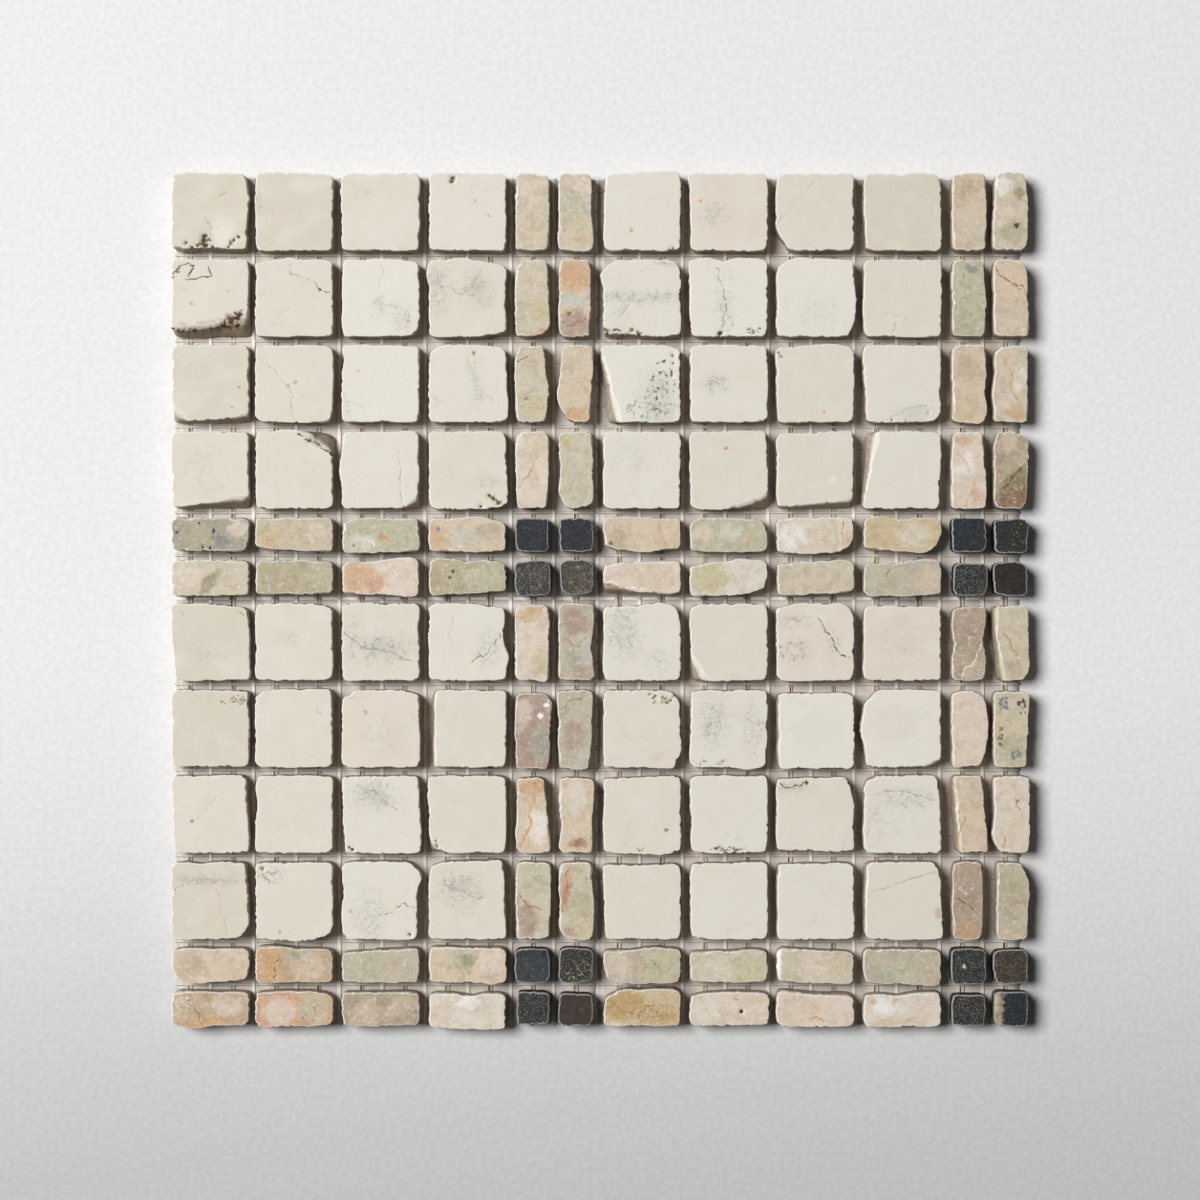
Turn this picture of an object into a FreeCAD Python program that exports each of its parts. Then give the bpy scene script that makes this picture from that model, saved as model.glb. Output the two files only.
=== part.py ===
import FreeCAD, Part
import math
import os
import random

# Mosaic tile sheet: tumbled marble stones in a plaid layout, glued face up on one sheet of
# glass fibre mesh. Millimetres. X runs to the right and Y up the sheet as it is looked down on,
# Z is up. The origin is at the middle of the sheet, on the underside of the mesh.

# Layout: a line of stones is large ones, then small ones, and the same again
large_pitch = 30.5
small_pitch = 15.25
large_run = 4
small_run = 2
runs = 2
joint = 3.0

# How far each column is set to the right of its place, and each row above it, in joint widths
column_drift = (-0.1, -0.4, -0.4, -0.35, -0.35, -0.3, -0.15, -0.1, -0.1, 0.0, 0.2, 0.05)
row_drift = (-0.1, -0.05, 0.05, 0.05, 0.05, 0.15, 0.15, 0.1, 0.2, 0.2, 0.2, 0.2)

# Stones
stone_thickness = 9.4
thickness_spread = 0.25
corner_radius = 1.9
point_spacing = 3.4
foot_height = 1.3
foot_inset = 0.7
shoulder_drop = 1.1
edge_drop = 0.4
edge_inset = 0.3
face_inset = 0.8
face_inset_spread = 0.3
wave = 0.1 * joint

# The smooth closed line round a stone at each level: its degree, the edges that it is made of,
# and the least step from point to point, which crowded points are eased to
line_degree = 3
line_edges = 4
least_step = 0.45
easing_rounds = 12

# How much of a lean or a bevel towards the face is reached at each level of a stone
foot_share = 0.12
shoulder_share = 0.75
edge_share = 0.92

# Backing mesh: flat glass strands, narrow and wide ones in turn across the sheet and one kind
# up it, trimmed back a little from the grid's outer line on each side
mesh_thickness = 0.6
mesh_pitch = 7.625
narrow_strand = 1.2
wide_strand = 2.4
cross_strand = 1.1
strand_shift_x = -1.2
strand_shift_y = 0.6
mesh_trim_left = 1.4
mesh_trim_right = 2.9
mesh_trim_top = 2.6
mesh_trim_bottom = 1.1


def bump(side, place, reach, width):
    """A side that swells or dips by reach joint widths, place mm from its left or top end."""
    return ("bump", side, place, reach, width)


def slant(side, start, end):
    """A side that stands out by start joint widths at its left or top end, by end at the other."""
    return ("slant", side, start, end)


def cut(corner, along_x, along_y):
    """A corner that is broken off over the whole thickness, with its two legs in mm."""
    return ("cut", corner, along_x, along_y)


def bevel(corner, along_x, along_y):
    """A corner that is broken off towards the face, with its two legs on the face in mm."""
    return ("bevel", corner, along_x, along_y)


def slope(side, start, end):
    """A side that leans in as it rises: the face stops start to end mm short of it."""
    return ("slope", side, start, end)


# What is particular to a stone, as (row, column), counted from the top left
own_shapes = {
    (1, 1): [bump("top", 0.8, 0.4, 1.5), bump("top", 8, 0.15, 5), cut("top_right", 1.8, 7),
             bump("right", 9.5, 0.3, 4), slant("right", -0.15, -0.3), slope("bottom", 1.2, 0.8)],
    (1, 2): [slant("top", 0.15, -0.05)],
    (1, 3): [cut("top_left", 1.5, 1.5), slant("left", 0.2, 0)],
    (1, 5): [cut("top_right", 3, 1.5)],
    (1, 6): [slant("right", -0.2, 0.15), bump("right", 12, -0.2, 5), bump("bottom", 6, 0.15, 6),
             bump("left", 22, 0.15, 6)],
    (1, 7): [slant("top", -0.15, 0.3), slope("left", 0.8, 0)],
    (1, 8): [bump("left", 0.5, 0.5, 7), bump("right", 13, 0.15, 6)],
    (1, 9): [cut("top_left", 1, 3), cut("bottom_left", 4.5, 7.5), bump("top", 17.5, -0.2, 3),
             bump("left", 18, 0.15, 8)],
    (1, 10): [cut("top_right", 2, 3.5), slant("left", 0.1, -0.2)],
    (1, 12): [bump("top", 5, 0.25, 6), cut("bottom_right", 2, 2), cut("top_right", 2, 4),
              slant("left", -0.2, 0.2)],
    (2, 1): [slope("bottom", 2.6, 5.4), bevel("bottom_right", 3.5, 9), slope("right", 0, 0.8)],
    (2, 2): [cut("top_left", 5, 1.5), cut("top_right", 2, 2), bump("top", 12, 0.15, 8)],
    (2, 3): [cut("top_right", 5, 1.6), cut("bottom_right", 3, 3), cut("top_left", 2, 2)],
    (2, 4): [bump("left", 5, 0.3, 6), bump("top", 12, 0.35, 9), cut("top_right", 12, 2.5),
             cut("bottom_right", 10, 1.5)],
    (2, 5): [cut("top_left", 3, 3), slant("right", -0.25, 0.2), cut("bottom_right", 3.5, 3)],
    (2, 6): [slant("right", -0.3, -0.25)],
    (2, 7): [bump("left", 5, 0.7, 4.5), cut("top_left", 4, 4), cut("top_right", 3, 4),
             bump("bottom", 20, 0.2, 6), slope("bottom", 1, 0.3)],
    (2, 8): [slant("left", 0.3, -0.1), bump("top", 6, 0.25, 5), bump("top", 12, -0.35, 4),
             bump("top", 19, 0.25, 8)],
    (2, 9): [bump("top", 9, 0.3, 8), cut("top_left", 5, 3), bump("right", 7, -0.2, 4),
             bump("right", 15, 0.4, 7), cut("bottom_right", 2, 4)],
    (2, 10): [cut("top_left", 2, 2)],
    (2, 11): [slant("right", -0.3, 0.05), bump("right", 14, 0.2, 6)],
    (2, 12): [cut("top_right", 3, 4), slant("right", -0.1, 0.15)],
    (3, 1): [bevel("bottom_left", 6.5, 6), slope("bottom", 0, 2.2), cut("bottom_right", 1, 1)],
    (3, 2): [cut("bottom_right", 1.5, 2.5), cut("top_right", 3, 1)],
    (3, 3): [bump("left", 6, -0.5, 3), slant("left", 0.05, 0.1)],
    (3, 4): [cut("top_left", 4, 3), cut("top_right", 3, 2), slant("right", -0.1, 0.3)],
    (3, 5): [slant("right", -0.5, -0.2), bump("right", 17, 0.5, 5), cut("bottom_right", 2, 5),
             cut("top_left", 2.5, 3)],
    (3, 6): [slant("left", -0.4, 0.45), cut("bottom_left", 3.5, 6), slant("right", 0.15, -0.35)],
    (3, 7): [slant("left", 0.45, -0.35), slope("left", 0, 5), cut("top_right", 6, 2)],
    (3, 8): [cut("top_left", 1.5, 1.5)],
    (3, 9): [cut("top_left", 9, 1.3), cut("top_right", 4, 1.5), slant("left", 0.15, -0.1)],
    (3, 10): [slant("left", 0.1, -0.25), slant("right", 0, -0.25), bump("right", 23, 0.5, 4),
              cut("bottom_right", 3, 3.5)],
    (3, 11): [bump("right", 16, -0.2, 5), bump("right", 24, 0.2, 4), slant("top", -0.1, 0.25),
              bump("bottom", 8, 0.2, 7)],
    (3, 12): [cut("top_left", 3, 3), bump("left", 10, -0.2, 5), bump("left", 18, 0.15, 6)],
    (4, 1): [slope("bottom", 0.3, 4), bump("right", 12, -0.2, 4)],
    (4, 2): [bump("top", 11.5, 0.35, 6), bevel("top_right", 12, 9), cut("top_right", 3, 1.5)],
    (4, 3): [bump("left", 14, 0.3, 10), bevel("bottom_right", 6, 4)],
    (4, 4): [slant("right", -0.15, 0.3), cut("bottom_right", 4, 1.5)],
    (4, 5): [cut("top_left", 2, 3), cut("top_right", 2, 2.5), slant("left", 0.1, -0.2),
             slant("right", 0, -0.2)],
    (4, 6): [bump("left", 23, 0.6, 5), bump("left", 13, -0.2, 5), cut("bottom_left", 3, 6),
             cut("bottom_right", 4, 2)],
    (4, 8): [bevel("bottom_right", 14, 5), bump("bottom", 8, 0.25, 8), slant("right", -0.1, 0.2)],
    (4, 9): [slant("top", -0.3, 0.15), slope("bottom", 0.4, 3), slant("right", 0, -0.2)],
    (4, 10): [slope("left", 4.2, 0.3), slant("left", -0.25, 0.25), slant("right", 0.05, -0.25)],
    (4, 11): [slant("right", -0.3, 0.1), slant("left", -0.05, 0.15)],
    (4, 12): [cut("top_left", 2, 3), cut("top_right", 3, 3), slant("right", 0.3, -0.35)],
    (5, 1): [cut("bottom_right", 2, 3), slant("bottom", -0.2, 0.05)],
    (5, 2): [slant("bottom", -0.45, 0.1), cut("bottom_left", 1.5, 1.5)],
    (5, 3): [cut("top_left", 6, 2), slant("bottom", 0.2, 0.0)],
    (5, 4): [bump("top", 18, 0.2, 6), cut("top_right", 6, 2.5), bump("top", 10, -0.1, 5)],
    (5, 5): [slant("right", -0.05, -0.05)],
    (5, 7): [bump("top", 6.5, 0.3, 6), cut("bottom_left", 5, 3), bump("bottom", 14.5, 0.3, 7),
             slant("bottom", -0.1, -0.25)],
    (5, 8): [cut("top_left", 3, 2), cut("top_right", 3, 4)],
    (5, 9): [slant("top", -0.1, 0.1), slant("bottom", 0.25, 0.1), cut("bottom_right", 4, 3.5)],
    (5, 10): [bump("top", 6, 0.25, 6), bump("top", 13, -0.2, 6), slant("bottom", -0.3, 0.3),
              cut("bottom_right", 4, 4)],
    (5, 12): [slant("bottom", 0.15, 0.1), slant("top", -0.2, -0.1)],
    (6, 1): [slant("bottom", 0.2, 0.2)],
    (6, 2): [slant("top", -0.1, -0.1)],
    (6, 3): [bump("top", 22, 0.4, 12), slant("top", -0.3, 0.1), cut("top_left", 3, 2),
             slant("bottom", -0.1, 0.3)],
    (6, 4): [bump("top", 6, 0.25, 7), bump("top", 14, -0.15, 5), slant("bottom", 0.2, -0.3),
             cut("top_right", 3, 2.5)],
    (6, 5): [slant("top", -0.2, -0.1), slant("bottom", 0.2, 0.2), slant("right", 0.05, 0.15)],
    (6, 6): [slant("left", -0.2, -0.2), cut("bottom_right", 1.5, 1.5)],
    (6, 7): [slant("top", -0.5, 0.1), slope("bottom", 1.8, 0), bump("bottom", 22, 0.2, 7)],
    (6, 8): [slant("top", -0.5, 0.0), bump("top", 17, 0.4, 9), slant("bottom", 0.3, 0.1),
             cut("bottom_right", 6, 3)],
    (6, 9): [slant("top", -0.4, 0.1), slant("bottom", 0.3, -0.3)],
    (6, 10): [slant("top", -0.5, 0.05), bump("top", 22, 0.2, 10), slant("bottom", 0.3, 0.15)],
    (6, 11): [slant("top", -0.35, -0.35), slant("bottom", 0.25, 0.25), slant("left", -0.3, -0.2),
              slant("right", 0.1, 0.1)],
    (6, 12): [slant("top", -0.2, -0.3), cut("top_right", 3, 2), slant("bottom", 0.1, 0.25)],
    (7, 1): [cut("top_right", 14, 1.8), slant("left", 0.1, -0.3), slant("right", -0.15, 0.2)],
    (7, 2): [cut("top_right", 6, 1.8), cut("top_left", 3, 1)],
    (7, 3): [bump("right", 10, -0.3, 3), bump("bottom", 18, -0.2, 6)],
    (7, 4): [cut("top_right", 10, 2), bump("right", 18.5, 0.5, 4), bump("right", 11, -0.35, 5),
             slant("right", -0.2, 0)],
    (7, 5): [cut("top_left", 2, 2), cut("top_right", 2, 2), bump("bottom", 5, -0.35, 3),
             slant("bottom", 0, 0.2), slant("top", -0.2, -0.2)],
    (7, 6): [bump("right", 15, -0.35, 8), bump("right", 25, 0.35, 3), slant("right", 0.15, 0)],
    (7, 7): [bump("top", 19, 0.3, 8), slant("top", -0.4, -0.1), cut("top_right", 3, 4)],
    (7, 8): [bevel("bottom_left", 5.5, 10), slant("top", -0.2, 0), bump("bottom", 8, 0.2, 10)],
    (7, 9): [cut("top_left", 8, 2), cut("top_right", 3, 5)],
    (7, 10): [slant("top", -0.35, -0.35)],
    (7, 11): [cut("top_left", 5, 3), bump("left", 15, -0.35, 5), bump("right", 13, -0.35, 8),
              slant("top", -0.2, -0.3)],
    (7, 12): [slant("left", 0.3, -0.4), slope("left", 1.2, 2), cut("bottom_right", 2, 3),
              slant("right", 0, 0.25), slant("top", -0.3, -0.3)],
    (8, 1): [slant("top", 0.05, 0), slope("bottom", 0.5, 0.3), bump("right", 5, -0.2, 5)],
    (8, 2): [cut("top_left", 4, 2), slant("top", 0.1, 0.1)],
    (8, 3): [cut("top_left", 4.5, 3.5), cut("top_right", 5, 1.5)],
    (8, 4): [slope("left", 1.6, 1.6), slant("left", -0.3, -0.2)],
    (8, 5): [cut("top_left", 3, 3), cut("top_right", 3, 3), slant("right", 0.4, -0.05),
             slant("top", -0.3, -0.3), slant("bottom", 0.2, 0.2)],
    (8, 6): [slant("left", 0.2, 0), slant("right", 0, -0.3), slant("bottom", 0.2, 0.2)],
    (8, 7): [cut("top_right", 4, 4), slant("left", -0.1, 0.1), bump("right", 20, 0.2, 7),
             cut("bottom_right", 2.5, 5), bump("bottom", 24, 0.35, 5)],
    (8, 8): [bump("bottom", 20, 0.25, 8), slant("right", 0, -0.2)],
    (8, 9): [slant("top", -0.4, -0.3), slope("left", 1, 1), slant("bottom", 0.1, 0.2)],
    (8, 10): [bump("left", 14, 0.6, 6), cut("top_left", 5, 5), slant("left", 0.1, -0.2),
              bevel("bottom_right", 8, 3)],
    (8, 11): [cut("top_left", 5, 1.5), cut("top_right", 4, 3.5), bump("right", 14, 0.3, 9),
              cut("bottom_right", 3, 4), slant("top", 0.1, 0.1)],
    (8, 12): [slant("right", 0.2, -0.15), slant("top", -0.1, -0.2)],
    (9, 1): [slant("left", 0.1, -0.35), slant("right", -0.4, 0.15)],
    (9, 2): [bump("left", 10, -0.3, 4), cut("top_left", 1.5, 3)],
    (9, 3): [slant("left", 0.05, -0.3), slant("right", -0.1, 0.3)],
    (9, 4): [bevel("bottom_left", 6, 6), slant("left", 0.1, -0.1)],
    (9, 5): [slant("right", -0.6, 0.25), bump("left", 20, 0.2, 5), slant("left", -0.15, -0.2),
             slant("top", -0.2, -0.2)],
    (9, 6): [bump("left", 17, -0.3, 8), bump("right", 18, -0.2, 8), slant("right", 0.1, 0),
             slant("top", -0.2, -0.3)],
    (9, 7): [slant("top", -0.3, 0), slant("bottom", -0.1, 0.35), cut("bottom_right", 3, 1)],
    (9, 8): [bump("left", 17, -0.3, 4), slant("left", 0.05, -0.15)],
    (9, 9): [cut("top_right", 3, 8), slant("top", -0.4, -0.1), slope("bottom", 1.5, 0.4)],
    (9, 10): [cut("top_left", 3.5, 3), slant("right", -0.35, 0.3), slope("right", 0, 0.6)],
    (9, 11): [slant("left", 0.1, -0.5), slant("right", -0.45, 0.3), slope("left", 0.8, 1.6)],
    (9, 12): [bump("left", 22, 0.25, 5), bump("left", 14, -0.25, 4), cut("bottom_left", 2, 4),
              slant("right", 0.3, 0.1)],
    (10, 1): [slant("right", -0.35, 0.15), cut("bottom_right", 3.5, 5), bump("top", 9, -0.15, 5)],
    (10, 2): [cut("bottom_right", 4, 3.5), bump("bottom", 15, 0.25, 9)],
    (10, 3): [bump("right", 5, 0.6, 3.5), slant("right", -0.05, -0.35), cut("top_right", 3.5, 3.5),
              bump("left", 12.5, -0.25, 3), cut("bottom_left", 2, 2)],
    (10, 4): [slant("right", -0.35, 0.2), bump("right", 24, -0.3, 3), cut("top_left", 3, 3),
              slant("top", -0.1, 0.25)],
    (10, 5): [slant("right", 0.25, 0.1), slant("left", -0.15, -0.05)],
    (10, 6): [cut("bottom_left", 3, 3), bump("right", 6, -0.25, 5), bump("right", 15, 0.2, 7)],
    (10, 7): [slant("left", 0.1, -0.25), slant("top", -0.35, -0.2)],
    (10, 8): [cut("bottom_left", 1.5, 3), slant("top", -0.25, 0)],
    (10, 9): [slope("left", 0.6, 0.4), slant("top", -0.2, -0.1)],
    (10, 10): [slant("right", -0.2, 0.3), cut("top_right", 2.5, 4), slope("left", 1, 0.6)],
    (10, 11): [slant("right", -0.45, -0.4), cut("bottom_right", 2.5, 3), bump("left", 14, 0.2, 8),
               slant("left", -0.15, -0.1)],
    (10, 12): [slant("left", -0.35, -0.35), cut("top_right", 2.5, 5), bump("right", 10, 0.2, 7)],
    (11, 1): [cut("bottom_left", 4, 3.5), slant("bottom", 0.3, -0.3), cut("bottom_right", 3, 2.5)],
    (11, 2): [slant("top", 0.35, -0.15), bump("bottom", 3, 0.25, 4)],
    (11, 3): [slant("top", -0.4, 0.1)],
    (11, 4): [bump("bottom", 23, 0.35, 6), slant("top", 0.15, 0), bump("left", 6, 0.1, 4)],
    (11, 6): [slant("top", 0, 0.05)],
    (11, 7): [bump("top", 18, 0.35, 8), slant("top", -0.3, 0), cut("bottom_left", 4, 3),
              slant("bottom", 0.2, 0.1)],
    (11, 8): [slant("top", -0.4, -0.1), cut("top_right", 1.5, 2)],
    (11, 9): [slant("top", 0.05, -0.4), slant("bottom", -0.1, 0.3)],
    (11, 10): [slant("top", -0.1, -0.1), slant("bottom", 0, 0.45)],
    (11, 11): [bump("left", 8, -0.25, 3), slant("bottom", 0.15, 0.2), slant("left", 0.2, 0)],
    (11, 12): [slant("top", -0.15, -0.15), slant("bottom", 0.05, 0.1)],
    (12, 1): [bump("bottom", 8, 0.4, 8), slant("bottom", -0.1, 0)],
    (12, 2): [slant("bottom", 0.2, 0), cut("top_right", 3, 2)],
    (12, 4): [bump("top", 14.5, -0.6, 5), slant("top", -0.2, -0.2), slant("bottom", 0.2, 0.5)],
    (12, 5): [slant("left", -0.3, -0.25), slant("bottom", -0.1, -0.1)],
    (12, 6): [slant("top", -0.25, -0.2), cut("bottom_right", 2, 1)],
    (12, 7): [cut("top_left", 5, 2.5), slant("top", 0.3, 0.3), bump("top", 11, -0.2, 4)],
    (12, 8): [cut("top_left", 6, 2), bump("left", 6, 0.1, 5), slant("right", 0.15, 0.2)],
    (12, 9): [slant("top", 0.2, -0.35), slope("top", 0, 0.8), slant("bottom", 0.1, 0.1)],
    (12, 10): [bump("top", 12, -0.35, 7), slant("top", -0.3, -0.1), slant("bottom", 0.1, 0.1)],
    (12, 11): [slant("top", -0.4, -0.4), slant("right", -0.1, -0.1)],
    (12, 12): [slant("bottom", 0, 0.05)],
}

# The sides of a stone, walked anticlockwise: the outward direction, and the direction walked in
sides = {
    "bottom": ((0, -1), (1, 0)),
    "right": ((1, 0), (0, 1)),
    "top": ((0, 1), (-1, 0)),
    "left": ((-1, 0), (0, -1)),
}
corners = {"bottom_left": (-1, -1), "bottom_right": (1, -1), "top_left": (-1, 1), "top_right": (1, 1)}


def lines_of_stones(drift):
    """The kind, middle and size of each line of stones, from the negative end, and their run."""
    lines = []
    start = 0.0
    for _ in range(runs):
        for kind, pitch, count in (("large", large_pitch, large_run), ("small", small_pitch, small_run)):
            for _ in range(count):
                shift = drift[len(lines) % len(drift)] * joint
                lines.append((kind, start + pitch / 2 + shift, pitch - joint))
                start += pitch
    return [(kind, middle - start / 2, size) for kind, middle, size in lines], start


def plain_outline(width, height):
    """Points anticlockwise round a rectangle with rounded corners."""
    points = []
    diagonal = corner_radius * (1 - math.cos(math.radians(45)))
    for (out_x, out_y), (along_x, along_y) in sides.values():
        length = width if along_x else height
        across = height if along_x else width
        straight = length - 2 * corner_radius
        steps = max(2, round(straight / point_spacing))
        for i in range(steps + 1):
            place = -straight / 2 + straight * i / steps
            points.append((along_x * place + out_x * across / 2, along_y * place + out_y * across / 2))
        end = length / 2 - diagonal
        points.append((along_x * end + out_x * (across / 2 - diagonal),
                       along_y * end + out_y * (across / 2 - diagonal)))
    return points


def side_reach(side, place, share, shapes):
    """How far a side stands out at a place from its left or top end, given as a share of it."""
    reach = 0.0
    for shape in shapes:
        if shape[1] != side:
            continue
        if shape[0] == "slant":
            reach += joint * (shape[2] + (shape[3] - shape[2]) * place[1])
        elif shape[0] == "bump":
            reach += joint * shape[3] * math.exp(-(((place[0] - shape[2]) / (shape[4] / 2)) ** 2))
        elif shape[0] == "slope":
            reach -= share * (shape[2] + (shape[3] - shape[2]) * place[1])
    return reach


def shaped_point(x, y, width, height, share, shapes):
    """A point of the plain outline, moved as the stone's own shapes ask."""
    moved_x, moved_y = x, y
    for side, ((out_x, out_y), _) in sides.items():
        depth = width / 2 - x * out_x if out_x else height / 2 - y * out_y
        weight = max(0.0, 1 - depth / (2 * corner_radius))
        from_end = height / 2 - y if out_x else x + width / 2
        length = height if out_x else width
        reach = weight * side_reach(side, (from_end, from_end / length), share, shapes)
        moved_x += out_x * reach
        moved_y += out_y * reach
    for shape in shapes:
        if shape[0] not in ("cut", "bevel"):
            continue
        sign_x, sign_y = corners[shape[1]]
        part = 1.0 if shape[0] == "cut" else share
        leg_x, leg_y = shape[2] * part, shape[3] * part
        if leg_x <= 0 or leg_y <= 0:
            continue
        short = 1 - (width / 2 - moved_x * sign_x) / leg_x - (height / 2 - moved_y * sign_y) / leg_y
        if short > 0:
            scale = short / (1 / leg_x**2 + 1 / leg_y**2)
            moved_x -= sign_x * scale / leg_x
            moved_y -= sign_y * scale / leg_y
    return moved_x, moved_y


def inset_ring(points, insets, height):
    """The points moved in square to the outline, each by its own inset, at a height."""
    ring = []
    for i, (x, y) in enumerate(points):
        before = points[i - 1]
        after = points[(i + 1) % len(points)]
        along_x, along_y = after[0] - before[0], after[1] - before[1]
        inset = insets[i] / math.hypot(along_x, along_y)
        ring.append(FreeCAD.Vector(x - along_y * inset, y + along_x * inset, height))
    return ring


def eased(ring, plain):
    """The ring's points, with those that crowd or fold back drawn between their neighbours."""
    ring = list(ring)
    for _ in range(easing_rounds):
        for i in range(len(ring)):
            after = (i + 1) % len(ring)
            if least_advance(ring, plain, (i - 1, i, after)) < least_step:
                ring[i] = (ring[i - 1] + ring[after]) / 2
    return ring


def least_advance(ring, plain, places):
    """The shortest way that the ring goes from place to place, along the plain outline's steps."""
    advances = []
    for start, end in zip(places, places[1:]):
        step_x, step_y = plain[end][0] - plain[start][0], plain[end][1] - plain[start][1]
        moved = ring[end] - ring[start]
        advances.append((moved.x * step_x + moved.y * step_y) / math.hypot(step_x, step_y))
    return min(advances)


def smooth_edges(ring):
    """The edges of a smooth closed line that follows a ring's points."""
    line = Part.BSplineCurve()
    line.buildFromPoles(ring, True, line_degree)
    knots = line.getKnots()
    ends = [knots[round(len(ring) * i / line_edges)] for i in range(line_edges + 1)]
    return [line.toShape(start, end) for start, end in zip(ends, ends[1:])]


def ringed_solid(rings):
    """The solid between a first and a last flat ring, with ruled faces from each ring to the next."""
    faces = [Part.Face(Part.Wire(edges)) for edges in (rings[0], rings[-1])]
    for low, high in zip(rings, rings[1:]):
        faces += [Part.makeRuledSurface(low_edge, high_edge) for low_edge, high_edge in zip(low, high)]
    skin = Part.Compound(faces)
    skin.sewShape()
    return Part.Solid(skin.Shells[0])


def stone(row, column, width, height):
    """One tumbled stone about its own middle, its foot on the mesh."""
    rng = random.Random(100 * row + column)
    shapes = own_shapes.get((row, column), [])
    plain = plain_outline(width, height)
    waves = [rng.uniform(-wave, wave) for _ in plain]
    wear = [face_inset + rng.uniform(-face_inset_spread, face_inset_spread) for _ in plain]
    top = mesh_thickness + stone_thickness - rng.uniform(0, thickness_spread)
    rings = []
    for level, share, inset in (
        (mesh_thickness, 0.0, [foot_inset + w for w in waves]),
        (mesh_thickness + foot_height, foot_share, waves),
        (top - shoulder_drop, shoulder_share, waves),
        (top - edge_drop, edge_share, [edge_inset + w for w in waves]),
        (top, 1.0, [a + w for a, w in zip(wear, waves)]),
    ):
        points = [shaped_point(x, y, width, height, share, shapes) for x, y in plain]
        rings.append(smooth_edges(eased(inset_ring(points, inset, level), plain)))
    return ringed_solid(rings)


def strand_places(shift, low, high):
    """The middle lines of the strands that lie between two trimmed edges."""
    first = math.ceil((low + wide_strand - shift) / mesh_pitch)
    last = math.floor((high - wide_strand - shift) / mesh_pitch)
    return {i: i * mesh_pitch + shift for i in range(first, last + 1)}


def strand_spans(places, widths, low_cut, high_cut):
    """Each strand's two edges, with a strand on a cut line kept on its own side of it."""
    spans = [(place - width / 2, place + width / 2) for place, width in zip(places, widths)]
    if low_cut:
        spans[0] = (places[0], spans[0][1])
    if high_cut:
        spans[-1] = (spans[-1][0], places[-1])
    return spans


def mesh_piece(x_spans, y_spans, ends):
    """A flat lattice of strands, whose free ends run out to the trimmed edges of the mesh."""
    left, right, bottom, top = ends
    outline = []
    x_low, x_high = x_spans[0][0], x_spans[-1][1]
    y_low, y_high = y_spans[0][0], y_spans[-1][1]
    for low, high in x_spans:
        outline += [(low, y_low), (low, bottom), (high, bottom), (high, y_low)]
    for low, high in y_spans:
        outline += [(x_high, low), (right, low), (right, high), (x_high, high)]
    for low, high in reversed(x_spans):
        outline += [(high, y_high), (high, top), (low, top), (low, y_high)]
    for low, high in reversed(y_spans):
        outline += [(x_low, high), (left, high), (left, low), (x_low, low)]
    wires = [polygon(outline)]
    for (_, x_start), (x_end, _) in zip(x_spans, x_spans[1:]):
        for (_, y_start), (y_end, _) in zip(y_spans, y_spans[1:]):
            wires.append(polygon([(x_start, y_start), (x_end, y_start), (x_end, y_end), (x_start, y_end)]))
    face = Part.Face(wires)
    return face.extrude(FreeCAD.Vector(0, 0, mesh_thickness))


def polygon(points):
    """A closed flat wire through the points, less those that repeat or lie in line."""
    kept = [p for i, p in enumerate(points) if p != points[i - 1]]
    kept = [p for i, p in enumerate(kept) if not in_line(kept[i - 1], p, kept[(i + 1) % len(kept)])]
    return Part.makePolygon([FreeCAD.Vector(x, y, 0) for x, y in kept + kept[:1]])


def in_line(before, point, after):
    """Whether a point lies on the straight way from the one before to the one after."""
    return before[0] == point[0] == after[0] or before[1] == point[1] == after[1]


def backing_mesh(sheet_width, sheet_height):
    """The four quarters of the mesh, which meet along the middle lines of two strands."""
    left, right = -sheet_width / 2 + mesh_trim_left, sheet_width / 2 - mesh_trim_right
    bottom, top = -sheet_height / 2 + mesh_trim_bottom, sheet_height / 2 - mesh_trim_top
    upright = strand_places(strand_shift_x, left, right)
    lying = strand_places(strand_shift_y, bottom, top)
    pieces = {}
    for side_x, keep_x in (("left", lambda i: i <= 0), ("right", lambda i: i >= 0)):
        kept = {i: place for i, place in upright.items() if keep_x(i)}
        widths = [narrow_strand if i % 2 == 0 else wide_strand for i in kept]
        x_spans = strand_spans(list(kept.values()), widths, side_x == "right", side_x == "left")
        x_ends = (left, x_spans[-1][1]) if side_x == "left" else (x_spans[0][0], right)
        for side_y, keep_y in (("bottom", lambda i: i <= 0), ("top", lambda i: i >= 0)):
            rows = [place for i, place in lying.items() if keep_y(i)]
            y_spans = strand_spans(rows, [cross_strand] * len(rows), side_y == "top", side_y == "bottom")
            y_ends = (bottom, y_spans[-1][1]) if side_y == "bottom" else (y_spans[0][0], top)
            pieces[f"backing_mesh_{side_y}_{side_x}"] = mesh_piece(x_spans, y_spans, x_ends + y_ends)
    return pieces


def stone_groups(lines):
    """The numbers of the lines in each run of large or small stones, counted from 1."""
    groups = []
    for number, (kind, _, _) in enumerate(lines, 1):
        if groups and groups[-1][0] == kind:
            groups[-1][1].append(number)
        else:
            groups.append((kind, [number]))
    return groups


def numbered(word, numbers):
    """A word with the first and last of its numbers, or with the only one."""
    if len(numbers) == 1:
        return f"{word}_{numbers[0]:02d}"
    return f"{word}s_{numbers[0]:02d}_{numbers[-1]:02d}"


def node_sets(row_kind, row_run, column_kind, column_run):
    """The rows and columns of each node where two runs cross: a black patch whole, else by line."""
    if row_kind == column_kind == "small":
        return [(row_run, column_run)]
    if column_kind == "small":
        return [(row_run, [column]) for column in column_run]
    return [([row], column_run) for row in row_run]


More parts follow.
